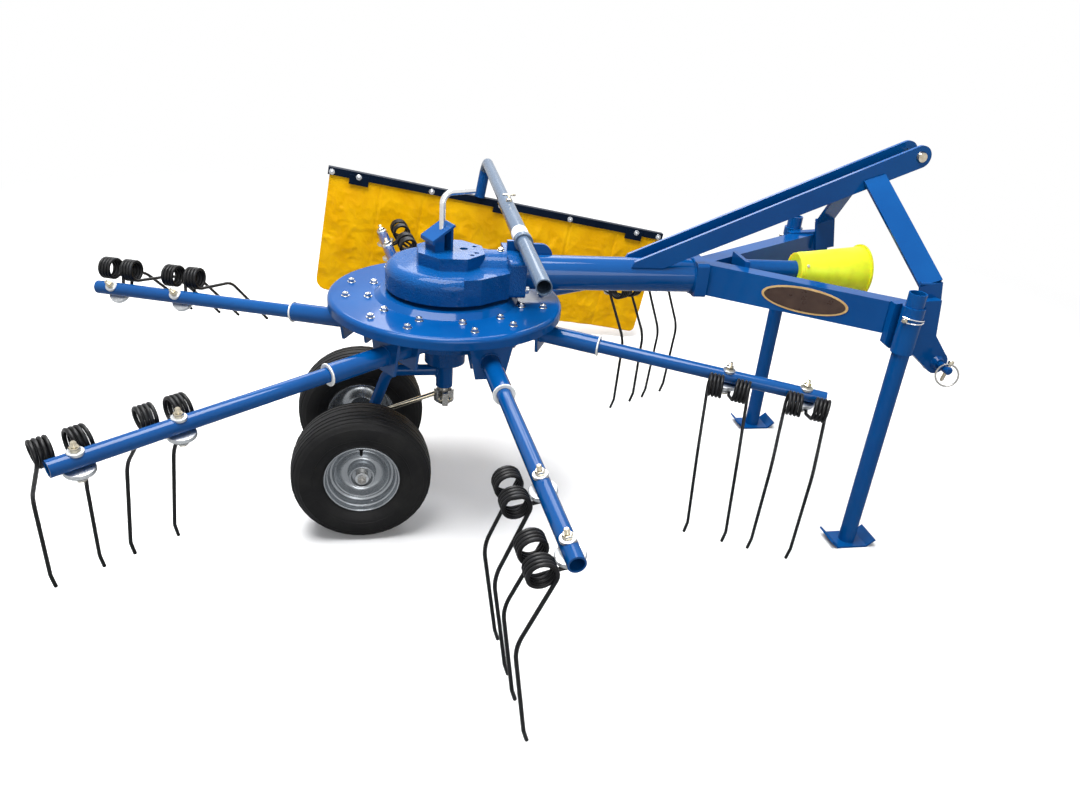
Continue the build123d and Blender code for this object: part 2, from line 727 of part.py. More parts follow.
# The wire leaves its coil on the tangent towards the knee
knee_away = hypot(knee[0] - coil_back, knee[1] - coil_down)
leave = atan2(knee[1] - coil_down, knee[0] - coil_back) + acos(coil_radius / knee_away)
root = (coil_back + coil_radius * cos(leave), coil_down + coil_radius * sin(leave))
clamp_down = arm_radius + seat + clamp_thick
link_down = clamp_down + seat + wire_radius
link_turn = radians(108)
link_root = (coil_back + coil_radius * cos(link_turn), coil_down + coil_radius * sin(link_turn))
link_side = coil_spacing - coil_length / 2 + wire_radius
for arm_name, angle, roll in arm_table:
    with BuildPart() as tines:
        for place, splay in pair_table:
            middle = arm_plane(angle, roll, place)
            for outward in (-1, 1):
                with BuildSketch(arm_plane(angle, roll, place + outward * coil_spacing - coil_length / 2)):
                    with Locations((coil_back, coil_down)):
                        Circle(coil_radius + wire_radius)
                        Circle(coil_radius - wire_radius, mode=Mode.SUBTRACT)
                extrude(amount=coil_length)
                beside = outward * tine_side
                with BuildLine() as wire:
                    FilletPolyline(
                        middle.from_local_coords((root[0], root[1], beside)),
                        middle.from_local_coords((knee[0], knee[1], beside + splay * knee_share)),
                        middle.from_local_coords((toe[0], toe[1], beside + splay)),
                        middle.from_local_coords((tip[0], tip[1], beside + splay - tip_inward)),
                        radius=(knee_bend, toe_bend),
                    )
                with BuildSketch(Plane(origin=wire.wires()[0] @ 0, z_dir=wire.wires()[0] % 0)):
                    Circle(wire_radius)
                sweep(path=wire.wires()[0])
            with BuildLine() as link:
                FilletPolyline(
                    middle.from_local_coords((link_root[0], link_root[1], -link_side)),
                    middle.from_local_coords((link_back, link_down, clamp_along - link_half)),
                    middle.from_local_coords((link_front, link_down, clamp_along - link_half)),
                    middle.from_local_coords((link_front, link_down, clamp_along + link_half)),
                    middle.from_local_coords((link_back, link_down, clamp_along + link_half)),
                    middle.from_local_coords((link_root[0], link_root[1], link_side)),
                    radius=(link_bend, link_bend, link_bend, link_bend),
                )
            with BuildSketch(Plane(origin=link.wires()[0] @ 0, z_dir=link.wires()[0] % 0)):
                Circle(wire_radius)
            sweep(path=link.wires()[0])
    tines.part.label = f"tines_{arm_name}"
    export_step(tines.part, f"parts/tines_{arm_name}.step")

with BuildPart() as clamps:
    for _, angle, roll in arm_table:
        for place, _ in pair_table:
            middle = arm_plane(angle, roll, place + clamp_along)
            under = Plane(origin=middle.from_local_coords((0, arm_radius + seat, 0)), z_dir=middle.y_dir)
            with BuildSketch(under):
                Circle(clamp_radius)
            extrude(amount=clamp_thick - clamp_round)
            with BuildSketch(under.offset(clamp_thick - clamp_round)):
                Circle(clamp_radius)
            extrude(amount=clamp_round, taper=clamp_slope)
clamps.part.label = "tine_clamps"
export_step(clamps.part, "parts/tine_clamps.step")

# ---------------------------------------------------------------- wheel carriage
with BuildPart() as carriage:
    with BuildSketch(level(column_bottom)):
        Circle(column_radius)
    extrude(amount=column_top - column_bottom)
    with BuildLine() as link_line:
        FilletPolyline(
            at(-column_radius + 6, 0, link_tube_height),
            at(-link_tube_bend_back, 0, link_tube_height),
            at(-axle_back, 0, axle_height),
            radius=link_tube_bend,
        )
    with BuildSketch(Plane(origin=at(-column_radius + 6, 0, link_tube_height), z_dir=(-1, 0, 0))):
        Circle(link_tube_radius)
    sweep(path=link_line.wires()[0])
    with BuildSketch(side_plane(axle_beam_half)):
        with Locations((-axle_back, axle_height)):
            Circle(axle_beam_radius)
    extrude(amount=2 * axle_beam_half)
    with BuildSketch(side_plane(axle_half)):
        with Locations((-axle_back, axle_height)):
            Circle(axle_radius)
    extrude(amount=2 * axle_half)
carriage.part.label = "wheel_carriage"
export_step(carriage.part, "parts/wheel_carriage.step")

with BuildPart() as column_foot:
    with BuildSketch(level(column_foot_bottom)):
        Circle(column_foot_radius)
    extrude(amount=column_bottom - column_foot_bottom)
    with BuildSketch(level(clamp_ring_low)):
        Circle(clamp_ring_radius)
        with Locations((0, -clamp_ring_radius - 4), (0, clamp_ring_radius + 4)):
            Rectangle(16, 26)
    extrude(amount=clamp_ring_high - clamp_ring_low)
column_foot.part.label = "column_foot"
export_step(column_foot.part, "parts/column_foot.step")

rod_start = at(-clamp_ring_radius + 4, 0, (clamp_ring_low + clamp_ring_high) / 2)
link_low = at(-axle_back, 0, axle_height)
link_run = at(-link_tube_bend_back, 0, link_tube_height) - link_low
rod_aim = link_low + link_run * rod_meets - rod_start
with BuildPart() as rod:
    with BuildSketch(Plane(origin=rod_start, z_dir=rod_aim)):
        Circle(rod_radius)
    extrude(amount=rod_aim.length)
    with BuildSketch(level(clamp_ring_low - 40)):
        Circle(clamp_ring_radius + seat)
    extrude(amount=clamp_ring_high - clamp_ring_low + 80, mode=Mode.SUBTRACT)
    with BuildSketch(Plane(origin=link_low, z_dir=link_run)):
        Circle(link_tube_radius + seat)
    extrude(amount=link_run.length, mode=Mode.SUBTRACT)
rod.part.label = "carriage_stay"
export_step(rod.part, "parts/carriage_stay.step")

# ---------------------------------------------------------------- wheels
tyre_half = tyre_width / 2
rim_half = rim_width / 2
for side_name, side in (("right", -1), ("left", 1)):
    hub_plane = Plane(origin=at(-axle_back, side * wheel_side, axle_height), x_dir=(0, side, 0), z_dir=(1, 0, 0))
    hub_axis = Axis(at(-axle_back, side * wheel_side, axle_height), (0, 1, 0))
    with BuildPart() as tyre:
        with BuildSketch(hub_plane):
            with BuildLine():
                Polyline(
                    (tyre_half - 22, tyre_radius - 7),
                    (tyre_half - 50, tyre_radius),
                    (-tyre_half + 50, tyre_radius),
                    (-tyre_half + 22, tyre_radius - 7),
                )
                ThreePointArc(
                    (-tyre_half + 22, tyre_radius - 7),
                    (-tyre_half, tyre_widest),
                    (-rim_half, rim_radius + seat),
                )
                Polyline(
                    (-rim_half, rim_radius + seat),
                    (-rim_half + rim_wall + seat, rim_radius + seat),
                    (-rim_half + rim_wall + seat, barrel_radius + seat),
                    (rim_half - rim_wall - seat, barrel_radius + seat),
                    (rim_half - rim_wall - seat, rim_radius + seat),
                    (rim_half, rim_radius + seat),
                )
                ThreePointArc(
                    (rim_half, rim_radius + seat),
                    (tyre_half, tyre_widest),
                    (tyre_half - 22, tyre_radius - 7),
                )
            make_face()
        revolve(axis=hub_axis)
    tyre.part.label = f"tyre_{side_name}"
    export_step(tyre.part, f"parts/tyre_{side_name}.step")

    with BuildPart() as rim:
        with BuildSketch(hub_plane):
            Polygon(
                (-rim_half, rim_radius),
                (-rim_half + rim_wall, rim_radius),
                (-rim_half + rim_wall, barrel_radius),
                (rim_half - rim_wall, barrel_radius),
                (rim_half - rim_wall, rim_radius),
                (rim_half, rim_radius),
                (rim_half, barrel_radius - rim_wall),
                (14, barrel_radius - rim_wall - 6),
                (22, 46),
                (hub_length / 2, hub_radius),
                (hub_length / 2, axle_radius + slip),
                (-hub_length / 2, axle_radius + slip),
                (-hub_length / 2, hub_radius),
                (8, 46),
                (0, barrel_radius - rim_wall),
                (-rim_half, barrel_radius - rim_wall),
                align=None,
            )
        revolve(axis=hub_axis)
    rim.part.label = f"rim_{side_name}"
    export_step(rim.part, f"parts/rim_{side_name}.step")

# ---------------------------------------------------------------- curtain
with BuildPart() as curtain_sleeve:
    with BuildSketch(sleeve_plane(sleeve_right)):
        Circle(sleeve_outer_radius)
    extrude(amount=sleeve_left - sleeve_right)
    with BuildSketch(sleeve_plane(sleeve_right)):
        Circle(sleeve_lip_radius)
    extrude(amount=sleeve_lip_length)
    with BuildSketch(side_plane(cradle_right + cradle_thick)):
        with BuildLine():
            Polyline(
                (cradle_front - cradle_bend, cradle_height),
                (sleeve_ahead, cradle_height),
                (sleeve_ahead - sleeve_outer_radius, cradle_rear_height),
                (cradle_rear, cradle_rear_height),
                (cradle_rear, flange_top + seat),
                (flange_ahead + flange_thick + seat, flange_top + seat),
                (flange_ahead + flange_thick + seat, tube_height),
                (cradle_front, tube_height),
                (cradle_front, cradle_height - cradle_bend),
            )
            RadiusArc(
                (cradle_front, cradle_height - cradle_bend),
                (cradle_front - cradle_bend, cradle_height),
                -cradle_bend,
            )
        make_face()
    extrude(amount=cradle_thick)
    with BuildSketch(cross_plane(flange_ahead + flange_thick, tube_height)):
        Circle(tube_radius + seat)
    extrude(amount=cradle_front - flange_ahead, mode=Mode.SUBTRACT)
    with BuildSketch(sleeve_plane(sleeve_right - sleeve_lip_length)):
        Circle(curtain_tube_radius + slip)
    extrude(amount=sleeve_left - sleeve_right + 2 * sleeve_lip_length, mode=Mode.SUBTRACT)
curtain_sleeve.part.label = "curtain_sleeve"
export_step(curtain_sleeve.part, "parts/curtain_sleeve.step")

swing = radians(curtain_swing)
sleeve_axis = sleeve_plane(0).z_dir
reach = curtain_side / sleeve_axis.Y
curtain_corner = sleeve_plane(reach).origin
leg_bottom = curtain_corner - Vector(sin(swing), 0, cos(swing)) * (bar_drop - seat)
with BuildPart() as curtain_arm:
    with BuildLine() as curtain_line:
        FilletPolyline(sleeve_plane(curtain_tube_right).origin, curtain_corner, leg_bottom, radius=curtain_bend)
    with BuildSketch(sleeve_plane(curtain_tube_right)):
        Circle(curtain_tube_radius)
        Circle(curtain_tube_radius - curtain_tube_wall, mode=Mode.SUBTRACT)
    sweep(path=curtain_line.wires()[0])
curtain_arm.part.label = "curtain_arm"
export_step(curtain_arm.part, "parts/curtain_arm.step")

# The curtain's own plane: its x runs ahead along the bar and its y is up, from the arm's axis
curtain_plane = Plane(
    origin=curtain_corner,
    x_dir=(cos(swing), 0, -sin(swing)),
    z_dir=(0, -1, 0),
)
bar_long = bar_front - bar_rear
with BuildPart() as bar:
    with BuildSketch(curtain_plane.offset(bar_rear_inset - bar_flange)):
        with Locations(((bar_front + bar_rear) / 2, -bar_drop - bar_thick / 2)):
            Rectangle(bar_long, bar_thick)
    extrude(amount=bar_flange)
    with BuildSketch(curtain_plane.offset(bar_rear_inset - bar_thick)):
        with Locations(((bar_front + bar_rear) / 2, -bar_drop - bar_height / 2)):
            Rectangle(bar_long, bar_height)
    extrude(amount=bar_thick)
bar.part.label = "curtain_bar"
export_step(bar.part, "parts/curtain_bar.step")

cloth_top = -bar_drop - bar_thick - seat
with BuildPart() as cloth:
    with BuildSketch(curtain_plane.offset(bar_rear_inset - bar_thick - seat - cloth_thick)) as cloth_outline:
        Polygon(
            (cloth_rear, cloth_top),
            (cloth_rear, -cloth_bottom - cloth_rear_sag),
            (cloth_front, -cloth_bottom + cloth_front_rise),
            (cloth_front, cloth_top),
            align=None,
        )
        fillet(cloth_outline.vertices().group_by(Axis.X)[0].sort_by(Axis.Y)[0], cloth_rear_corner)
        fillet(cloth_outline.vertices().group_by(Axis.X)[-1].sort_by(Axis.Y)[0], cloth_front_corner)
    extrude(amount=cloth_thick)
cloth.part.label = "curtain_cloth"
export_step(cloth.part, "parts/curtain_cloth.step")
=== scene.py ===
"""Dress the single-rotor hay rake and set up its studio.

Lengths are metres in the machine's own frame: +X ahead to the tractor, +Y to the left, +Z up,
with the origin on the ground under the middle of the machine.
"""

from __future__ import annotations

import json
import logging
from collections.abc import Sequence
from dataclasses import dataclass
from enum import Enum
from math import acos, atan2, cos, exp, pi, radians, sin, sqrt, tan, tau

import bmesh
import bpy
from mathutils import Matrix, Vector, noise

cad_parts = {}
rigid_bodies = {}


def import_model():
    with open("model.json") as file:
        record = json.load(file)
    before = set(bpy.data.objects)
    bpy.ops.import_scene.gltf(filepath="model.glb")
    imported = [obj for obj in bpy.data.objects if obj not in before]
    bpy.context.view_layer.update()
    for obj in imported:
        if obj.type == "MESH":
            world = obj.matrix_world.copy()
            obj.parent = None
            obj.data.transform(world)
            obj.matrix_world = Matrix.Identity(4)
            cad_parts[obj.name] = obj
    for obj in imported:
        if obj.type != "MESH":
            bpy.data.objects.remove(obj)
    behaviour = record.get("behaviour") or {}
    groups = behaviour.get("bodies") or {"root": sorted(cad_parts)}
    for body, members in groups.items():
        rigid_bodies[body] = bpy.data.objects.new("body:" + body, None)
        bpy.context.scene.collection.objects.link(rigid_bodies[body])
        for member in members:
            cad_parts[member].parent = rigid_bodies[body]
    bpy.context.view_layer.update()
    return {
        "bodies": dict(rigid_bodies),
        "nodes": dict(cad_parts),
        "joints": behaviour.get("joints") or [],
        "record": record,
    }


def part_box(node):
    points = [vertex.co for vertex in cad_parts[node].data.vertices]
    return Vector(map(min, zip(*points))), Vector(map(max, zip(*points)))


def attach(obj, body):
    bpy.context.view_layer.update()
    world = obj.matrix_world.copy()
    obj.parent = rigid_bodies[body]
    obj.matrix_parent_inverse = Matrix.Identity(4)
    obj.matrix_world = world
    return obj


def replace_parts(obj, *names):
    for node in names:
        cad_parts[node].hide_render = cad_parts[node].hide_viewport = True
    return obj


LOG = logging.getLogger("hay_rake")

Triple = tuple[float, float, float]
Colour = Triple
Pair = tuple[float, float]
Outline = Sequence[Pair]
Run = Sequence[Vector]
Node = bpy.types.Node
Socket = bpy.types.NodeSocket

AHEAD = Vector((1, 0, 0))
UP = Vector((0, 0, 1))


# ---- places
def seated(origin: Vector, up: Vector, ahead: Vector | None = None) -> Matrix:
    """Make a local frame that sits on a surface.

    Args:
        origin: Where it lies.
        up: Its Z direction, away from the surface.
        ahead: Roughly its X direction, or None for any.

    Returns:
        The frame.
    """
    z_axis = up.normalized()
    guide = ahead if ahead is not None else z_axis.orthogonal()
    y_axis = z_axis.cross(guide).normalized()
    x_axis = y_axis.cross(z_axis)
    turned = Matrix((x_axis, y_axis, z_axis)).transposed().to_4x4()
    return Matrix.Translation(origin) @ turned


def at(x: float, y: float, z: float) -> Vector:
    """A point or a direction."""
    return Vector((x, y, z))


def mm(*points: Pair) -> Outline:
    """Turn an outline in millimetres into one in metres."""
    return tuple((x / 1000, y / 1000) for x, y in points)


def shifted(place: Matrix, x: float = 0.0, y: float = 0.0, z: float = 0.0) -> Matrix:
    """A frame moved by so much along its own axes."""
    return place @ Matrix.Translation((x, y, z))


def heading(degrees: float) -> Vector:
    """The level direction at so many degrees from straight ahead to the left."""
    turn = radians(degrees)
    return at(cos(turn), sin(turn), 0)


def circle(radius: float, steps: int) -> list[Pair]:
    """List evenly spaced points of a circle round the origin."""
    turns = [2 * pi * i / steps for i in range(steps)]
    return [(radius * cos(t), radius * sin(t)) for t in turns]


def rounded_path(corners: Run, radii: Sequence[float], steps: int) -> list[Vector]:
    """Round the corners of a run, as a tube bender does.

    Args:
        corners: The run's points, ends included.
        radii: A bend radius for each inner corner.
        steps: How many spans a bend has.

    Returns:
        The rounded run.
    """
    path = [corners[0]]
    for before, corner, after, radius in zip(corners, corners[1:], corners[2:], radii):
        inward = (before - corner).normalized()
        outward = (after - corner).normalized()
        half = inward.angle(outward) / 2
        reach = radius / tan(half)
        middle = corner + (inward + outward).normalized() * radius / sin(half)
        first = corner + inward * reach - middle
        last = corner + outward * reach - middle
        turn = first.angle(last)
        for i in range(steps + 1):
            share = i / steps
            spoke = first * sin((1 - share) * turn) + last * sin(share * turn)
            path.append(middle + spoke / sin(turn))
    return [*path, corners[-1]]


def placed(name: str, data: bpy.types.ID) -> bpy.types.Object:
    """Put an object in the scene.

    Args:
        name: Its name.
        data: Its mesh, lamp or camera.

    Returns:
        The object.
    """
    item = bpy.data.objects.new(name, data)
    bpy.context.scene.collection.objects.link(item)
    return item


# ---- finishes
class Graph:
    """The shading nodes of a material or of the world."""

    def __init__(self, owner: bpy.types.Material | bpy.types.World) -> None:
        """Switch the nodes on.

        Args:
            owner: The material or world.
        """
        owner.use_nodes = True
        self.nodes = owner.node_tree.nodes
        self.links = owner.node_tree.links

    def add(self, kind: str, inputs: dict[str | int, object], **settings: str | int) -> Node:
        """Add a node.

        Args:
            kind: Its type, without the prefix.
            inputs: Sockets or values, by input name or number.
            **settings: Its own settings.

        Returns:
            The node.
        """
        node = self.nodes.new("ShaderNode" + kind)
        for name, value in settings.items():
            setattr(node, name, value)
        for key, value in inputs.items():
            if isinstance(value, Socket):
                self.links.new(value, node.inputs[key])
            else:
                node.inputs[key].default_value = value
        return node

    def shine(self, kind: str, colour: Colour, strength: float) -> Node:
        """Add a shader that gives light of its own."""
        return self.add(kind, {"Color": (*colour, 1.0), "Strength": strength})

    def rays(self) -> tuple[Socket, Socket]:
        """Tell kinds of rays apart.

        Returns:
            Whether a ray is the camera's, and whether it is that or a reflection's.
        """
        path = self.add("LightPath", {}).outputs
        ends = {0: path["Is Camera Ray"], 1: path["Is Glossy Ray"]}
        return ends[0], self.add("Math", ends, operation="MAXIMUM").outputs[0]

    def show(self, share: Socket, first: Node, second: Node) -> None:
        """Send a mix of two shaders to the output.

        Args:
            share: The second one's share.
            first: A shader.
            second: Another.
        """
        mixed = self.add("MixShader", {0: share, 1: first.outputs[0], 2: second.outputs[0]})
        out = next(n for n in self.nodes if n.type.startswith("OUTPUT"))
        self.links.new(mixed.outputs[0], out.inputs["Surface"])


class Recipe(Graph):
    """A procedural material under construction."""

    def __init__(self, name: str, **settings: float) -> None:
        """Start a material.

        Args:
            name: Its name.
            **settings: Values of the shader's inputs, with underscores for spaces.
        """
        self.material = bpy.data.materials.new(name)
        super().__init__(self.material)
        self.shader = next(n for n in self.nodes if n.type == "BSDF_PRINCIPLED")
        self.place = self.add("TexCoord", {}).outputs["Object"]
        for socket, value in settings.items():
            self.shader.inputs[socket.replace("_", " ")].default_value = value

    def stretched(self, upward: float) -> Socket:
        """The place on the object, with its height scaled."""
        scale = (1.0, 1.0, upward)
        return self.add("Mapping", {"Vector": self.place, "Scale": scale}).outputs["Vector"]

    def cloud(self, scale: float, detail: float, place: Socket | None = None) -> Socket:
        """Soft noise from 0 to 1 with so many features a metre."""
        inputs = {"Vector": place or self.place, "Scale": scale, "Detail": detail}
        return self.add("TexNoise", inputs).outputs["Fac"]

    def cells(self, scale: float) -> Socket:
        """Distance to the nearest of so many grains a metre."""
        return self.add("TexVoronoi", {"Vector": self.place, "Scale": scale}).outputs["Distance"]

    def span(self, value: Socket, found: Pair, wanted: Pair = (0.0, 1.0)) -> Socket:
        """Map one range of values onto another, clamped.

        Args:
            value: The value.
            found: The range it has.
            wanted: The range it gets.

        Returns:
            The new value.
        """
        names = ("From Min", "From Max", "To Min", "To Max")
        inputs = {"Value": value, **dict(zip(names, (*found, *wanted)))}
        return self.add("MapRange", inputs).outputs["Result"]

    def blend(self, share: Socket, *ends: Socket | Colour) -> Socket:
        """Mix two colours by a share from 0 to 1."""
        first, second = (e if isinstance(e, Socket) else (*e, 1.0) for e in ends)
        return self.add("Mix", {0: share, 6: first, 7: second}, data_type="RGBA").outputs[2]

    def total(self, first: Socket, second: Socket, weight: float) -> Socket:
        """Add a weighted second height to a first."""
        inputs = {0: second, 1: weight, 2: first}
        return self.add("Math", inputs, operation="MULTIPLY_ADD").outputs[0]

    def length(self, vector: Socket) -> Socket:
        """The length of a vector."""
        return self.add("VectorMath", {0: vector}, operation="LENGTH").outputs["Value"]

    def feed(self, name: str, socket: Socket) -> None:
        """Feed one of the shader's inputs."""
        self.links.new(socket, self.shader.inputs[name])

    def mottle(self, tone: Socket, finish: Finish, tint: Pair, dull: Pair, rough: Pair) -> None:
        """Let a tone change the colour and the roughness.

        Args:
            tone: Noise from 0 to 1.
            finish: Whose colours and roughness these are.
            tint: The tones over which the colour changes.
            dull: The tones over which the roughness changes.
            rough: What either end adds to the roughness.
        """
        self.feed("Base Color", self.blend(self.span(tone, tint), finish.colour, finish.worn_and_highlit))
        ends = (finish.roughness + rough[0], finish.roughness + rough[1])
        self.feed("Roughness", self.span(tone, dull, ends))

    def relief(self, height: Socket, depth: float, edge: float = 0.0) -> None:
        """Raise the surface.

        Args:
            height: The height, from 0 to 1.
            depth: What 1 stands for.
            edge: How far edges are eased.
        """
        inputs: dict[str | int, object] = {"Height": height, "Distance": depth, "Strength": 1.0}
        if edge:
            inputs["Normal"] = self.add("Bevel", {"Radius": edge}, samples=4).outputs["Normal"]
        self.feed("Normal", self.add("Bump", inputs).outputs["Normal"])


@dataclass(frozen=True)
class Finish:
    """A finish for a material slot: its main tone, its second tone, and its roughness. The second
    tone is where it is worn; on the curtain cloth it is a painted highlight on the raised crumples.
    """

    name: str
    colour: Colour
    worn_and_highlit: Colour
    roughness: float

    @property
    def material(self) -> bpy.types.Material:
        """The finish's material, made once."""
        name = self.name + "_finish"
        return bpy.data.materials.get(name) or self.recipe(name).material

    def recipe(self, name: str) -> Recipe:
        """Mix the finish under a name."""
        raise NotImplementedError


@dataclass(frozen=True)
class Paint(Finish):
    """Sprayed gloss paint on steel.

    Attributes:
        grain: Depth of the rough casting under it, or 0.
        edge: How far the steel's edges are eased.
        gloss: The share of clear coat.
        flake: How metallic it is.
        peel: Depth of the coat's ripple.
    """

    grain: float = 0.0
    edge: float = 0.0012
    gloss: float = 0.26
    flake: float = 0.0
    peel: float = 0.00006

    def drift(self, recipe: Recipe) -> Socket:
        """The paint's own colour, changing slowly over the piece."""
        tone = recipe.span(recipe.cloud(scale=5.0, detail=4.0), (0.35, 0.7))
        return recipe.blend(tone, self.colour, self.worn_and_highlit)

    def recipe(self, name: str) -> Recipe:
        """Mix the finish.

        Args:
            name: The material's name.

        Returns:
            The recipe.
        """
        shine = {"Coat_Weight": self.gloss, "Coat_Roughness": 0.05, "Metallic": self.flake}
        recipe = Recipe(name, Specular_IOR_Level=0.03, **shine)
        streaks = recipe.cloud(scale=60.0, detail=5.0, place=recipe.stretched(0.25))
        thin = recipe.span(streaks, (0.62, 0.8), (0.0, 0.35))
        recipe.feed("Base Color", recipe.blend(thin, self.drift(recipe), self.worn_and_highlit))
        ends = (self.roughness - 0.03, self.roughness + 0.07)
        recipe.feed("Roughness", recipe.span(streaks, (0.3, 0.75), ends))
        if self.grain:
            pits = recipe.cloud(scale=170.0, detail=3.0)
            recipe.relief(recipe.total(recipe.cells(300.0), pits, 1.6), self.grain, self.edge)
        else:
            recipe.relief(recipe.cloud(scale=420.0, detail=2.0), self.peel, self.edge)
        return recipe


@dataclass(frozen=True)
class PartedPaint:
    """Two paints on one piece, which part at a radius round the Z axis of a line's frame."""

    name: str
    near: Paint
    beyond: Paint
    line: Matrix
    radius: float
    fade: float = 0.0004

    @property
    def material(self) -> bpy.types.Material:
        """Mix the piece's paints.

        Returns:
            The material.
        """
        recipe = self.near.recipe(self.name + "_finish")
        place, turn = self.line.translation, self.line.to_euler()
        inputs = {"Vector": recipe.place, "Location": place, "Rotation": turn}
        local = recipe.add("Mapping", inputs, vector_type="TEXTURE").outputs["Vector"]
        flat = recipe.add("VectorMath", {0: local, 1: (1.0, 1.0, 0.0)}, operation="MULTIPLY")
        away = recipe.length(flat.outputs["Vector"])
        share = recipe.span(away, (self.radius, self.radius + self.fade))
        coats = self.near.drift(recipe), self.beyond.drift(recipe)
        recipe.feed("Base Color", recipe.blend(share, *coats))
        ends = (self.near.roughness, self.near.roughness + 0.05)
        soft = recipe.cloud(scale=30.0, detail=3.0)
        recipe.feed("Roughness", recipe.span(soft, (0.3, 0.7), ends))
        return recipe.material


@dataclass(frozen=True)
class Metal(Finish):
    """Bare or plated metal. Its spangle is in crystals a metre, or 0 for none."""

    spangle: float = 0.0

    def recipe(self, name: str) -> Recipe:
        """Mix the finish.

        Args:
            name: The material's name.

        Returns:
            The recipe.
        """
        recipe = Recipe(name, Metallic=1.0)
        stain = recipe.cloud(scale=90.0, detail=4.0)
        if self.spangle:
            stain = recipe.total(stain, recipe.cells(self.spangle), 0.5)
        recipe.mottle(stain, self, tint=(0.35, 0.85), dull=(0.3, 0.8), rough=(-0.05, 0.12))
        recipe.relief(recipe.cloud(scale=650.0, detail=2.0), 0.00004)
        return recipe


@dataclass(frozen=True)
class SpringCoat(Finish):
    """Black lacquer baked on spring wire, rubbed thin on its high sides."""

    def recipe(self, name: str) -> Recipe:
        """Mix the finish.

        Args:
            name: The material's name.

        Returns:
            The recipe.
        """
        recipe = Recipe(name, Specular_IOR_Level=0.22)
        scuff = recipe.cloud(scale=45.0, detail=6.0)
        recipe.mottle(scuff, self, tint=(0.5, 0.78), dull=(0.35, 0.7), rough=(0.0, 0.2))
        recipe.relief(recipe.cloud(scale=900.0, detail=3.0), 0.00009)
        return recipe


@dataclass(frozen=True)
class Plastic(Finish):
    """Moulded plastic. Its glow is how much light soaks into it."""

    glow: float = 0.0

    def recipe(self, name: str) -> Recipe:
        """Mix the finish.

        Args:
            name: The material's name.

        Returns:
            The recipe.
        """
        soak = {"Subsurface_Weight": self.glow, "Subsurface_Scale": 0.05}
        recipe = Recipe(name, Specular_IOR_Level=0.45, **soak)
        scuff = recipe.cloud(scale=35.0, detail=5.0)
        recipe.mottle(scuff, self, tint=(0.42, 0.72), dull=(0.3, 0.7), rough=(-0.06, 0.1))
        recipe.relief(recipe.cloud(scale=800.0, detail=2.0), 0.00005, 0.0008)
        return recipe


@dataclass(frozen=True)
class TyreRubber(Finish):
    """Black tyre rubber with a little road dust in its texture."""

    def recipe(self, name: str) -> Recipe:
        """Mix the finish.

        Args:
            name: The material's name.

        Returns:
            The recipe.
        """
        recipe = Recipe(name, Specular_IOR_Level=0.18)
        dust = recipe.cloud(scale=14.0, detail=6.0)
        recipe.mottle(dust, self, tint=(0.45, 0.75), dull=(0.35, 0.7), rough=(0.0, 0.22))
        bumps = recipe.cloud(scale=420.0, detail=5.0)
        recipe.relief(recipe.total(bumps, recipe.cells(230.0), 0.8), 0.00045)
        return recipe


@dataclass(frozen=True)
class CurtainCloth(Finish):
    """Coated cloth: a plain weave under a soft skin, with so many threads and folds a metre."""

    threads: float = 900.0
    folds: float = 22.0

    def recipe(self, name: str) -> Recipe:
        """Mix the finish.

        Args:
            name: The material's name.

        Returns:
            The recipe.
        """
        recipe = Recipe(name, Specular_IOR_Level=0.05, Coat_Weight=0.10, Coat_Roughness=0.14)
        crumple_and_highlight = recipe.cloud(scale=14.0, detail=7.0, place=recipe.stretched(0.7))
        # painted highlight: the noise that raises the crumples also lightens the colour towards the
        # second tone, so the raised crumples are painted lighter
        recipe.mottle(crumple_and_highlight, self, tint=(0.42, 0.72), dull=(0.35, 0.7), rough=(0.0, 0.16))
        warp = {"Vector": recipe.place, "Scale": self.threads / tau, "Distortion": 0.4}
        across, down = (recipe.add("TexWave", warp, bands_direction=d).outputs["Fac"] for d in "XZ")
        spread = {"Vector": recipe.stretched(0.8), "Scale": self.folds, "Randomness": 1.0}
        folds = recipe.add("TexVoronoi", spread, feature="DISTANCE_TO_EDGE").outputs["Distance"]
        sharp = recipe.span(folds, (0.0, 0.12), (4.0, 0.0))
        crumple = recipe.total(recipe.span(crumple_and_highlight, (0.3, 0.7), (0.0, 27.0)), sharp, 1.0)
        recipe.relief(recipe.total(crumple, recipe.total(across, down, 1.0), 1.0), 0.00006)
        return recipe


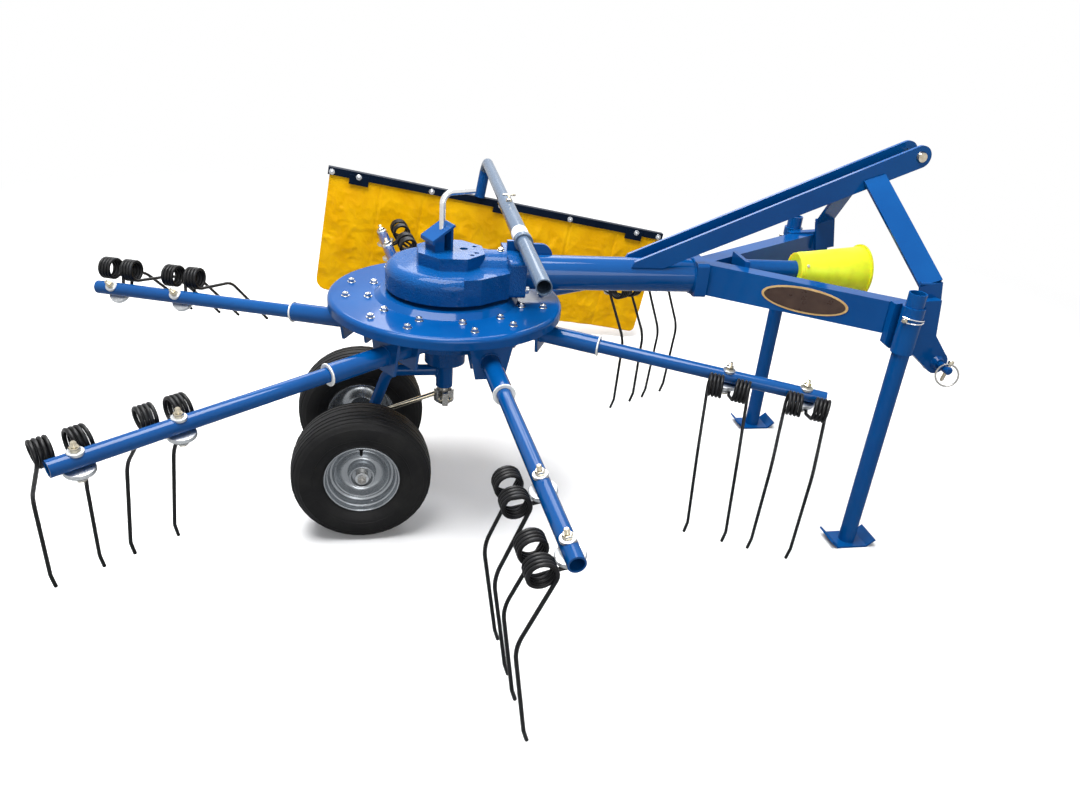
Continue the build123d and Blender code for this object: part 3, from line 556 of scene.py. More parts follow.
class Coat(Enum):
    """The finishes of the machine. A solid's own is named by its material slot."""

    BLUE = Paint("blue_paint", (0.0006, 0.050, 0.196), (0.0015, 0.064, 0.230), 0.15)
    TUBE = Paint("blue_tube_paint", (0.0006, 0.05, 0.19), (0.0015, 0.062, 0.222), 0.13, gloss=0.45)
    CASTING = Paint(
        "blue_casting", (0.0008, 0.05, 0.19), (0.002, 0.066, 0.235), 0.22, 0.0011, 0.003
    )
    NAVY = Paint("navy_paint", (0.0025, 0.006, 0.015), (0.004, 0.010, 0.024), 0.3, gloss=0.05)
    GREY_BLUE = Paint("grey_blue_paint", (0.072, 0.108, 0.165), (0.084, 0.124, 0.186), 0.24)
    RIM = Paint("rim_paint", (0.33, 0.35, 0.37), (0.38, 0.40, 0.42), 0.21, gloss=0.3, flake=0.8)
    SPRING = SpringCoat("tine_black", (0.0025, 0.0025, 0.003), (0.011, 0.012, 0.015), 0.3)
    ZINC = Metal("zinc", (0.80, 0.81, 0.82), (0.55, 0.57, 0.59), 0.26, 160.0)
    YELLOW_ZINC = Metal("yellow_zinc", (0.64, 0.59, 0.47), (0.36, 0.31, 0.23), 0.17)
    BRIGHT = Metal("bright_steel", (0.42, 0.41, 0.39), (0.26, 0.25, 0.23), 0.26)
    BOLT = Metal("bolt_zinc", (0.60, 0.61, 0.62), (0.40, 0.41, 0.42), 0.17)
    CHROME = Metal("chrome", (0.86, 0.86, 0.86), (0.78, 0.78, 0.79), 0.14)
    NYLON = Plastic("nylon", (0.80, 0.80, 0.77), (0.70, 0.70, 0.66), 0.45)
    LEMON = Plastic("guard_plastic", (0.86, 0.78, 0.015), (0.74, 0.66, 0.01), 0.4, 0.5)
    TYRE = TyreRubber("tyre", (0.0045, 0.0045, 0.005), (0.013, 0.013, 0.0125), 0.5)
    # the cloth's second, lighter tone is a painted highlight on its raised crumples
    CLOTH = CurtainCloth("curtain_cloth", (0.70, 0.350, 0.0004), (0.80, 0.44, 0.002), 0.3)
    BAND = Plastic("white_band", (0.82, 0.82, 0.80), (0.70, 0.70, 0.68), 0.5)
    BADGE = Plastic("badge_brown", (0.035, 0.016, 0.010), (0.05, 0.026, 0.016), 0.3)
    BADGE_RIM = Plastic("badge_tan", (0.56, 0.36, 0.14), (0.46, 0.28, 0.10), 0.35)


# ---- shapes
class Shape:
    """A mesh under construction, in the machine's frame."""

    def __init__(self, name: str) -> None:
        """Start an empty shape.

        Args:
            name: The piece's name.
        """
        self.name = name
        self.mesh = bmesh.new()
        self.coats: list[Coat] = []

    def skin(self, rings: Sequence[Run], coat: Coat, looped: bool = False) -> None:
        """Skin a run of rings.

        Args:
            rings: Rings with as many points each.
            coat: The finish.
            looped: Whether the last joins the first. If not, both are capped.
        """
        if coat not in self.coats:
            self.coats.append(coat)
        index = self.coats.index(coat)
        made = [[self.mesh.verts.new(p) for p in ring] for ring in rings]
        pairs = list(zip(made, made[1:])) + ([(made[-1], made[0])] if looped else [])
        corners = []
        for lower, upper in pairs:
            for i in range(len(lower)):
                j = (i + 1) % len(lower)
                corners.append((lower[i], lower[j], upper[j], upper[i]))
        if not looped:
            corners += [tuple(reversed(made[0])), tuple(made[-1])]
        for points in corners:
            face = self.mesh.faces.new(points)
            face.material_index = index
            face.smooth = True

    def lathe(
        self, place: Matrix, profile: Outline, coat: Coat, steps: int = 24, closed: bool = False
    ) -> None:
        """Turn a profile of (radius, height), open or a closed ring, about the local Z axis."""
        rings = [[place @ at(x, y, h) for x, y in circle(r, steps)] for r, h in profile]
        self.skin(rings, coat, closed)

    def prism(self, place: Matrix, outline: Outline, depth: float, coat: Coat, ease: float) -> None:
        """Raise an outline along the local Z axis.

        Args:
            place: The local frame.
            outline: Points in its XY plane.
            depth: How far it rises.
            coat: The finish.
            ease: How far the edges are eased.
        """
        middle = Vector((sum(p[0] for p in outline), sum(p[1] for p in outline))) / len(outline)
        inset = 1 - ease / max((Vector(p) - middle).length for p in outline)
        rings = []
        for share, height in ((inset, 0.0), (1.0, ease), (1.0, depth - ease), (inset, depth)):
            ring = [middle + (Vector(p) - middle) * share for p in outline]
            rings.append([place @ Vector((*p, height)) for p in ring])
        self.skin(rings, coat)

    def sweep(
        self, path: Run, radius: float, coat: Coat, looped: bool = False, lumps: float = 0.0
    ) -> None:
        """Run a round section along a path.

        Args:
            path: Its centre line.
            radius: Its radius.
            coat: The finish.
            looped: Whether the path closes on itself.
            lumps: The share by which the radius changes, like a weld's ripples.
        """
        sides = 6 if lumps else 8
        count = len(path)
        rings = []
        guide = None
        for i, point in enumerate(path):
            before = path[i - 1] if looped else path[max(i - 1, 0)]
            after = path[(i + 1) % count] if looped else path[min(i + 1, count - 1)]
            along = (after - before).normalized()
            guide = along.orthogonal() if guide is None else guide - along * guide.dot(along)
            guide.normalize()
            side = along.cross(guide)
            ripple = noise.noise(point * 260.0) + (0.5 if i % 2 else -0.5)
            reach = radius * (1 + lumps * ripple)
            rings.append([point + (guide * x + side * y) * reach for x, y in circle(1.0, sides)])
        self.skin(rings, coat, looped)

    def ring_weld(self, place: Matrix, radius: float, bead: float, coat: Coat = Coat.BLUE) -> None:
        """Lay a rippled weld, as thick as its bead, on a circle round the local Z axis."""
        path = [place @ at(x, y, 0) for x, y in circle(radius, 72)]
        self.sweep(path, bead, coat, looped=True, lumps=0.3)

    def built(self, body: str, crease: float = 38.0) -> bpy.types.Object:
        """Make the object.

        Args:
            body: The body that carries it.
            crease: Over how many degrees an edge stays sharp.

        Returns:
            The object.
        """
        bmesh.ops.recalc_face_normals(self.mesh, faces=self.mesh.faces)
        data = bpy.data.meshes.new(self.name)
        self.mesh.to_mesh(data)
        self.mesh.free()
        for coat in self.coats:
            data.materials.append(coat.value.material)
        data.set_sharp_from_angle(angle=radians(crease))
        piece = placed(self.name, data)
        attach(piece, body)
        LOG.info("%s: %d faces on %s", self.name, len(data.polygons), body)
        return piece


@dataclass(frozen=True)
class Fastener:
    """A hexagon bolt or nut with its washer, standing on a surface.

    Attributes:
        across: Width across the flats.
        height: Height of the head or nut.
        washer: The washer's radius, or 0.
        thick: The washer's thickness.
        shank: Radius of the bolt's end, or 0.
        proud: How far that stands out.
        pitch: The thread's pitch.
        root: The thread's inner radius, as a share.
    """

    across: float
    height: float
    washer: float = 0.0
    thick: float = 0.0016
    shank: float = 0.0
    proud: float = 0.0
    pitch: float = 0.0018
    root: float = 0.86

    def fit(self, shape: Shape, place: Matrix, coat: Coat, under: Coat | None = None) -> None:
        """Add it to a shape.

        Args:
            shape: The shape.
            place: A frame on the surface, with Z outward.
            coat: Its finish.
            under: The washer's finish, if that differs.
        """
        if self.washer:
            rim = self.thick * 0.25
            inner = self.washer - rim
            rise = [(self.washer, rim), (self.washer, self.thick - rim), (inner, self.thick)]
            shape.lathe(place, [(inner, -0.0004), *rise], under or coat, 20)
            place = shifted(place, z=self.thick)
        flats = circle(self.across / sqrt(3), 6)
        shape.prism(place, flats, self.height, coat, ease=self.height * 0.14)
        if self.shank:
            top = self.height + self.proud
            profile = [(self.shank, 0.0)]
            for i in range(int(self.proud / self.pitch) - 1):
                start = self.height + 0.0008 + self.pitch * i
                profile += [(self.shank, start), (self.shank * self.root, start + self.pitch / 2)]
            profile += [(self.shank, top - self.shank * 0.3), (self.shank * 0.7, top)]
            shape.lathe(place, profile, coat, 12)


# ---- rotor
@dataclass(frozen=True)
class ArmLine:
    """Where an arm lies and how far the cam has rolled its tines up, in degrees."""

    name: str
    angle: float
    roll: float


@dataclass
class TineArms:
    """The six arms' lines, spring tines, clamps, bolts, welds and rings."""

    axis: Vector
    arms: tuple[ArmLine, ...] = (
        ArmLine("front_right", -25.8, -3.0),
        ArmLine("right", -85.8, -12.7),
        ArmLine("rear_right", -145.8, 4.6),
        ArmLine("rear_left", 154.2, 42.9),
        ArmLine("left", 94.2, 18.0),
        ArmLine("front_left", 34.2, -7.7),
    )
    # the arms' lines
    offset: float = 0.0744
    height: float = 0.550
    droop: float = 3.16
    radius: float = 0.019
    # the tines: (place along the arm, splay) of each pair, then the wire from its coil to its tip
    pairs: tuple[Pair, ...] = ((0.8008, 0.0375), (1.0118, 0.0084))
    bolt_along: float = -0.008
    wire: float = 0.0047
    coil: float = 0.028
    coil_centre: Pair = (0.067, 0.002)
    coil_end: float = 76.0
    turns: int = 4
    steps_a_radian: float = 3.5
    side: float = 0.0545
    coil_length: float = 0.0380
    knee: Pair = (0.1435, 0.157)
    knee_share: float = 0.4
    toe: Pair = (0.161, 0.394)
    tip: Pair = (0.1585, 0.430)
    tip_inward: float = 0.004
    bends: Pair = (0.016, 0.11)
    # the wire's link under the clamp bolt
    link_half: float = 0.014
    link_back: float = 0.036
    link_front: float = -0.014
    link_down: float = 0.0387
    link_bend: float = 0.013
    # clamps, welds and rings
    plate: float = 0.032
    plate_depth: float = 0.0147
    nut: Fastener = Fastener(0.0195, 0.0095, shank=0.006, proud=0.012)
    head: Fastener = Fastener(0.0195, 0.0065, 0.0145, 0.0025)
    weld_places: Pair = (0.252, 0.260)
    weld_radius: float = 0.0265
    bead: float = 0.0024
    housing_end: float = 0.424
    ring_radius: float = 0.0290

    def frame(self, arm: ArmLine, along: float, rolled: bool = True) -> Matrix:
        """The frame across an arm.

        Args:
            arm: Which arm.
            along: How far out.
            rolled: Whether it turns with the tines.

        Returns:
            A frame with X back from the arm, Y down and Z outward along it.
        """
        level, droop = heading(arm.angle), radians(self.droop)
        outward = level * cos(droop) - UP * sin(droop)
        back = level.cross(UP)
        foot = at(self.axis.x, self.axis.y, self.height) - back * self.offset
        if rolled:
            roll = radians(arm.roll)
            back = back * cos(roll) - outward.cross(back) * sin(roll)
        return seated(foot + outward * along, outward, back)

    def on_coil(self, turn: float, along: float) -> Vector:
        """The wire in its coil, at a turn in radians and a place along the arm."""
        x, y = self.coil_centre
        return at(x + self.coil * cos(turn), y + self.coil * sin(turn), along)

    def half_wire(self, sign: int, splay: float) -> list[Vector]:
        """One tine of a pair, from its tip to the end of its coil, in the arm's own frame.

        Args:
            sign: -1 for the inner tine and 1 for the outer.
            splay: How far its tip leans outward.

        Returns:
            The wire's centre line.
        """
        down = Vector(self.knee) - Vector(self.coil_centre)
        leave = atan2(down.y, down.x) + acos(self.coil / down.length)
        outer = sign * self.side
        corners = [
            Vector((*self.tip, outer + splay - self.tip_inward)),
            Vector((*self.toe, outer + splay)),
            Vector((*self.knee, outer + splay * self.knee_share)),
            self.on_coil(leave, outer),
        ]
        path = rounded_path(corners, self.bends, 7)
        wound = 2 * pi * self.turns - (leave - radians(self.coil_end))
        steps = round(wound * self.steps_a_radian)
        for share in (i / steps for i in range(1, steps + 1)):
            along = sign * (self.side - self.coil_length * share)
            path.append(self.on_coil(leave + wound * share, along))
        return path

    def wire_line(self, splay: float) -> list[Vector]:
        """Bend a double tine from one wire, in the arm's own frame.

        Args:
            splay: How far its tips lean outward.

        Returns:
            The wire's centre line, from tip to tip.
        """
        inner, outer = self.half_wire(-1, splay), self.half_wire(1, splay)
        near, far = self.bolt_along - self.link_half, self.bolt_along + self.link_half
        front, back = self.link_front, self.link_back
        link = ((back, near), (front, near), (front, far), (back, far))
        corners = [at(x, self.link_down, along) for x, along in link]
        loop = rounded_path([inner[-1], *corners, outer[-1]], [self.link_bend] * len(link), 6)
        return [*inner[:-1], *loop, *reversed(outer[:-1])]

    def springs(self) -> None:
        """Bend the spring tines of each arm from one wire a pair."""
        for arm in self.arms:
            shape = Shape(f"spring_tines_{arm.name}")
            for place, splay in self.pairs:
                frame = self.frame(arm, place)
                shape.sweep([frame @ p for p in self.wire_line(splay)], self.wire, Coat.SPRING)
            piece = shape.built("rotor", 60)
            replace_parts(piece, f"tines_{arm.name}")

    def clamps(self) -> None:
        """Clamp each pair of tines with a domed plate, a bolt, a shaped washer and a nut."""
        shape = Shape("tine_clamp_set")
        r, deep = self.plate, self.plate_depth
        dome = [
            (r - 0.0035, 0.0), (r - 0.0008, 0.0012), (r, 0.0040), (r, deep - 0.0060),
            (r - 0.0014, deep - 0.0028), (r - 0.0050, deep - 0.0006), (r - 0.0095, deep),
            (0.0130, deep), (0.0110, deep - 0.0025),
        ]
        seat = [(0.0165, -0.0052), (0.0175, -0.0035), (0.0175, 0.0012), (0.0165, 0.0024)]
        seat_top = 0.0030
        upward, downward = (Matrix.Rotation(radians(a), 4, "X") for a in (90, -90))
        for arm in self.arms:
            for place, _ in self.pairs:
                frame = self.frame(arm, place + self.bolt_along)
                under = shifted(frame, y=self.radius + 0.0003) @ downward
                shape.lathe(under, dome, Coat.ZINC, 32)
                crown = shifted(frame, y=-self.radius) @ upward
                shape.lathe(crown, [*seat, (0.0125, seat_top)], Coat.ZINC)
                self.nut.fit(shape, shifted(crown, z=seat_top - 0.0002), Coat.YELLOW_ZINC)
                low = shifted(frame, y=self.link_down + self.wire) @ downward
                self.head.fit(shape, low, Coat.YELLOW_ZINC, Coat.ZINC)
        piece = shape.built("rotor")
        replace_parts(piece, "tine_clamps")

    def joints(self) -> None:
        """Lay the welds round the arms' housings."""
        shape = Shape("arm_housing_welds")
        for arm in self.arms:
            for place in self.weld_places:
                shape.ring_weld(self.frame(arm, place, False), self.weld_radius, self.bead)
        shape.built("rotor")

    def rings(self) -> None:
        """Slip a thin nylon ring over each arm at the mouth of its housing."""
        shape = Shape("nylon_rings")
        bore, r = self.radius + 0.0002, self.ring_radius
        profile = [
            (bore, 0.0001), (r - 0.0008, 0.0001), (r, 0.0009), (r, 0.0033),
            (r - 0.0008, 0.0041), (self.radius + 0.0014, 0.0041), (bore, 0.0034),
        ]
        for arm in self.arms:
            place = self.frame(arm, self.housing_end, False)
            shape.lathe(place, profile, Coat.NYLON, 48, closed=True)
        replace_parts(shape.built("rotor"), "arm_rings")

    def build(self) -> None:
        """Make everything on the arms."""
        self.springs()
        self.clamps()
        self.joints()
        self.rings()


@dataclass
class RotorDisc:
    """The bolts of the rotor's covering disc, in rings of (radius, turn on arms, turn between)."""

    axis: Vector
    top: float
    first: float = -25.8
    rings: tuple[Triple, ...] = ((0.212, 2.0, 2.0), (0.270, 6.0, 0.0))
    bolt: Fastener = Fastener(0.0155, 0.0078, 0.0112, 0.0018, 0.0045, 0.0022)

    def build(self) -> None:
        """Fit the bright bolts, two to each arm and two to each gap between arms."""
        shape = Shape("disc_bolts")
        centre = at(self.axis.x, self.axis.y, self.top)
        for k in range(12):
            for radius, on_arm, between in self.rings:
                turn = self.first + 30 * k + (between if k % 2 else on_arm)
                spot = centre + heading(turn) * radius
                self.bolt.fit(shape, seated(spot, UP, heading(5 * turn)), Coat.BOLT)
        shape.built("rotor")


# ---- wheels
@dataclass
class Wheel:
    """A ribbed tyre on a dished rim with its hub, valve and axle nut.

    The profiles are points of (radius, distance outward).
    """

    side: str
    centre: Vector
    outward: float
    grooves: tuple[float, ...] = (0.012, 0.029, 0.045)
    groove: float = 0.0045
    groove_lip: float = 0.0028
    groove_foot: float = 0.0012
    tread: float = 0.1875
    crown: float = 1.6
    wall: Outline = mm(
        (179.5, 54.5), (176.5, 55.6), (174.5, 59.6), (170, 63.4), (164, 66.5), (162.5, 68.4),
        (159.5, 68.9), (150, 70.2), (140, 70.2), (131, 68.8), (130, 67.6), (128, 67.4), (118, 64),
        (109, 58.5), (104, 55), (101.6, 50),
    )
    face: Outline = mm(
        (101, 50.5), (101.2, 52.5), (99.5, 54.5), (96.5, 54.2), (94.8, 51.5), (94.2, 42.5),
        (92.8, 39.2), (89.8, 38.3), (88, 35.5), (86.8, 24), (84.5, 19), (79, 17.2), (75.5, 21.2),
        (72.2, 23.2), (69, 20.5), (62, 8.5), (52, 3), (42, 2), (37.2, 4), (35.2, 10), (34.5, 38.5),
        (33.5, 40.8), (31.2, 41.4), (29, 40.4), (27.8, 38), (27.2, 30), (25.5, 28.2), (13.5, 28.2),
    )
    back: Outline = mm(
        (13.5, -41), (31.5, -41), (33.5, -39.5), (34.5, -6), (42, -3), (60, -1), (70, 6), (78, 12),
        (85, 12), (86.8, 6), (87, -36), (92, -40), (94, -50), (96.5, -54), (99.5, -54.5),
        (101.2, -52.5), (101, -50),
    )
    stem: Outline = mm((7.2, 0), (6.8, 6), (4.2, 10), (3.8, 26), (3.4, 27))
    spacer: Outline = mm((13.8, 28), (15.2, 28.5), (15.2, 46.8), (13.8, 47.2))
    inner_cap: Outline = mm((13.5, -41.2), (13.5, -40.2), (12.5, -40.2))
    valve: Triple = (0.080, 0.0, 0.0200)
    valve_lean: Triple = (-0.25, 0.0, 1.0)
    nut: Fastener = Fastener(0.022, 0.0095, 0.0175, 0.0015, 0.0065, 0.0035)
    nut_out: float = 0.0471

    def tyre_half(self) -> list[Pair]:
        """Draw half of the tyre's section.

        Returns:
            Points from the middle of the tread out to the bead.
        """
        points: list[Pair] = []
        lip, foot = self.groove_lip, self.groove_foot
        for out in self.grooves:
            top = self.tread - (0.0002 + self.crown * out * out)
            floor = top - self.groove
            points += [(top, out - lip), (floor, out - foot)]
            points += [(floor, out + foot), (top - 0.0004, out + lip)]
        return [*points, *self.wall]

    def build(self) -> None:
        """Make the tyre and the rim."""
        place = seated(self.centre, at(0, self.outward, 0), UP)
        half = self.tyre_half()
        section = [(r, -h) for r, h in reversed(half)] + half
        tyre = Shape(f"ribbed_tyre_{self.side}")
        tyre.lathe(place, section, Coat.TYRE, 44, closed=True)
        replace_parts(tyre.built(f"wheel_{self.side}", 30), f"tyre_{self.side}")
        self.rim(place)

    def rim(self, place: Matrix) -> None:
        """Spin the rim and fit its valve, spacer, nut and inner cap.

        Args:
            place: The wheel's frame, with Z outward.
        """
        rim = Shape(f"dished_rim_{self.side}")
        rim.lathe(place, (*self.face, *self.back), Coat.RIM, 56, closed=True)
        lean = place.to_3x3() @ Vector(self.valve_lean)
        rim.lathe(seated(place @ Vector(self.valve), lean), self.stem, Coat.TYRE, 14)
        rim.lathe(place, self.spacer, Coat.BRIGHT)
        self.nut.fit(rim, shifted(place, z=self.nut_out), Coat.BRIGHT, Coat.ZINC)
        rim.lathe(place, self.inner_cap, Coat.BRIGHT, 20)
        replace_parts(rim.built(f"wheel_{self.side}", 34), f"rim_{self.side}")


# ---- curtain
@dataclass
class Curtain:
    """The hanging cloth, its seams, and the bolts and tabs of its bar.

    Places are measured from the pivot: ahead along the bar, or down from it.
    """

    pivot: Vector
    swing: float = 9.0
    # the cloth's outline and the mesh it is cut into
    rear: float = -0.5803
    front: float = 0.7937
    top: float = 0.1465
    rear_drop: float = 0.6322
    front_drop: float = 0.5942
    rear_corner: float = 0.045
    front_corner: float = 0.020
    back: float = 0.0042
    depth: float = 0.0018
    columns: int = 320
    rows: int = 104
    edge_columns: int = 12
    edge_share: float = 0.03
    # its hang: waves of (share, waves a metre, start), crumples of (features a metre, depth)
    waves: tuple[Triple, ...] = ((0.55, 7.5, 0.6), (0.35, 15.0, 2.1))
    wave_depth: float = 0.010
    crumples: tuple[Pair, ...] = ((4.0, 0.0044), (11.0, 0.0032), (26.0, 0.0015), (52.0, 0.0006))
    sharpness: float = 2.2
    upright: float = 0.45
    seams: tuple[float, ...] = (-0.385, -0.215, 0.205, 0.395, 0.600)
    seam_depth: float = 0.0022
    seam_width: float = 0.004
    # the bar: bolts, then tabs of (middle, width)
    bar_top: float = 0.1412
    bar_face: float = 0.0062
    bolt: Fastener = Fastener(0.013, 0.005, 0.0110, 0.0014, 0.004, 0.002)
    bolts: tuple[float, ...] = (-0.573, -0.472, -0.190, 0.090, 0.385, 0.681, 0.782)
    bolt_drop: float = 0.0165
    tabs: tuple[Pair, ...] = ((-0.470, 0.073), (0.086, 0.050), (0.672, 0.075))
    weld: Pair = (0.0205, 0.0022)
    weld_back: float = 0.006
    tab_thick: float = 0.004
    tab_drop: float = 0.026
    tab_down: float = -0.022
    tab_up: float = 0.014

    def frame(self) -> Matrix:
        """The frame of the curtain.

        Returns:
            A frame with X ahead along the bar, Y up and Z towards the machine.
        """
        swing = radians(self.swing)
        along = at(cos(swing), 0, -sin(swing))
        return seated(self.pivot, at(0, -1, 0), along)

    def billow(self, x: float, y: float) -> float:
        """How far the cloth stands off its plane.

        Args:
            x: Place along the bar.
            y: Drop below the bar, from 0 to 1.

        Returns:
            The distance towards the machine.
        """
        folds = sum(share * sin(rate * x + start) for share, rate, start in self.waves)
        hang = folds * self.wave_depth * y**1.2
        crumple = 0.0
        for scale, deep in self.crumples:
            spot = at(x * scale, y * self.upright * scale, scale)
            crumple += deep * (1 - self.sharpness * abs(noise.noise(spot)))
        sewn = sum(exp(-(((x - s) / self.seam_width) ** 2)) for s in self.seams)
        return hang + crumple * min(1.0, y * 4.0) - self.seam_depth * sewn

    def lower_edge(self, share: float) -> float:
        """How far below the pivot the cloth ends.

        Args:
            share: The place along its length, from 0 to 1.

        Returns:
            The drop.
        """
        long = self.front - self.rear
        x = share * long
        edge = self.rear_drop + (self.front_drop - self.rear_drop) * share
        for away, radius in ((x, self.rear_corner), (long - x, self.front_corner)):
            if away < radius:
                edge -= radius - sqrt(radius**2 - (radius - away) ** 2)
        return edge

    def cuts(self) -> list[float]:
        """Where the mesh's columns lie, closer at the cloth's ends.

        Returns:
            Shares of its length.
        """
        few, edge = self.edge_columns, self.edge_share
        ends = [edge * (1 - cos(pi / 2 * i / few)) for i in range(few)]
        count = self.columns - 2 * few
        middle = [edge + (1 - 2 * edge) * i / count for i in range(count + 1)]
        return [*ends, *middle, *(1 - share for share in reversed(ends))]

    def cloth(self) -> None:
        """Hang the cloth, crumple it and round its lower corners."""
        frame, columns = self.frame(), self.cuts()
        shape = Shape("hanging_curtain")
        long = self.front - self.rear
        grid = []
        for y in (j / self.rows for j in range(self.rows + 1)):
            row = []
            for share in columns:
                x = self.rear + long * share
                low = self.top + (self.lower_edge(share) - self.top) * y
                spot = at(x, -low, self.billow(x, y) - self.back)
                row.append(shape.mesh.verts.new(frame @ spot))
            grid.append(row)
        shape.coats.append(Coat.CLOTH)
        for upper, lower in zip(grid, grid[1:]):
            for i in range(len(columns) - 1):
                face = shape.mesh.faces.new((upper[i], lower[i], lower[i + 1], upper[i + 1]))
                face.smooth = True
        piece = shape.built("curtain", 180)
        thick = piece.modifiers.new("thickness", "SOLIDIFY")
        thick.thickness = self.depth
        thick.offset = 0.0
        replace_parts(piece, "curtain_cloth")
        area = long * ((self.rear_drop + self.front_drop) / 2 - self.top)
        area -= (1 - pi / 4) * (self.rear_corner**2 + self.front_corner**2)

    def bar(self) -> None:
        """Fit the bar's bolts and its drop tabs, and weld it to its arm."""
        frame = self.frame()
        shape = Shape("curtain_bar_fittings")
        for x, wide in self.tabs:
            low, high, half = self.tab_down, self.tab_up, wide / 2
            tab = [(-half, low), (half, low), (half, high), (-half, high)]
            place = shifted(frame, x, -self.bar_top - self.tab_drop, self.bar_face)
            shape.prism(place, tab, self.tab_thick, Coat.NAVY, 0.0008)
        for x in self.bolts:
            tabbed = any(abs(x - middle) < wide / 2 for middle, wide in self.tabs)
            face = self.bar_face + (self.tab_thick if tabbed else 0.0)
            self.bolt.fit(shape, shifted(frame, x, -self.bar_top - self.bolt_drop, face), Coat.ZINC)
        down = Matrix.Rotation(radians(-90), 4, "X")
        seam = shifted(frame, 0, -self.bar_top, -self.weld_back) @ down
        shape.ring_weld(seam, *self.weld, Coat.NAVY)
        shape.built("curtain")

    def build(self) -> None:
        """Make everything that hangs on the curtain's arm."""
        self.cloth()
        self.bar()


@dataclass
class CurtainSleeve:
    """The fittings of the sleeve that holds the curtain's arm."""

    mouth: Vector
    axis: Vector
    bore: float = 0.0215
    radius: float = 0.0235
    collar: float = 0.030
    band: float = 0.075
    lock: float = 0.400
    bolt: Fastener = Fastener(0.016, 0.010, shank=0.004, proud=0.010)
    handle: Outline = mm((2.8, 0), (3.3, 1), (3.3, 39), (2.8, 40))
    handle_up: float = 0.021

    def build(self) -> None:
        """Fit the end collar, the bare white band and the locking bolt."""
        place = seated(self.mouth, self.axis, AHEAD)
        shape = Shape("sleeve_fittings")
        start, end, inner = self.collar, self.collar + self.band, self.radius - 0.001
        ring = [(self.bore, -0.0008), (0.0248, -0.0012), (0.0262, 0.0004), (0.0262, start - 0.001)]
        ring += [(inner, start + 0.0005), (self.bore, start)]
        shape.lathe(place, ring, Coat.GREY_BLUE, 40)
        outer = self.radius + 0.0006
        label = [(inner, start), (outer, start + 0.0005), (outer, end), (inner, end + 0.0005)]
        shape.lathe(place, label, Coat.BAND, 40)
        up = place.to_3x3() @ at(0, -1, 0)
        up = up if up.z > 0 else -up
        far = place @ at(0, 0, self.lock) + up * inner
        self.bolt.fit(shape, seated(far, up), Coat.YELLOW_ZINC)
        ahead = self.axis.cross(up).normalized()
        end_place = seated(far + up * self.handle_up - ahead * (self.handle[-1][1] / 2), ahead)
        shape.lathe(end_place, self.handle, Coat.YELLOW_ZINC, 10)
        shape.built("frame")


# ---- gearbox
@dataclass
class Gearbox:
    """The bolts of the casting and the welds at the main tube's ends."""

    axis: Vector
    flange_face: float
    tube_height: float
    apex: float
    weld_radius: float = 0.049
    bead: float = 0.0035
    bolt: Fastener = Fastener(0.019, 0.009, 0.013, 0.002)
    bolt_sides: Pair = (-0.078, 0.078)
    bolt_heights: Pair = (0.672, 0.735)
    plug: Fastener = Fastener(0.014, 0.006, 0.010, 0.0015, 0.003, 0.003)
    plug_ahead: float = 0.143
    plug_up: float = 0.0575

    def build(self) -> None:
        """Fit the bolts on the flange and neck and lay the tube's welds."""
        shape = Shape("casting_fittings")
        for y in self.bolt_sides:
            for z in self.bolt_heights:
                spot = at(self.flange_face, self.axis.y + y, z)
                self.bolt.fit(shape, seated(spot, AHEAD), Coat.ZINC)
        ahead = self.axis.x + self.plug_ahead
        crown = at(ahead, self.axis.y, self.tube_height + self.plug_up)
        self.plug.fit(shape, seated(crown, UP), Coat.YELLOW_ZINC)
        shape.built("frame")
        welds = Shape("main_tube_welds")
        for x in (self.flange_face + 0.001, self.apex):
            place = seated(at(x, self.axis.y, self.tube_height), AHEAD)
            welds.ring_weld(place, self.weld_radius, self.bead)
        welds.built("frame")


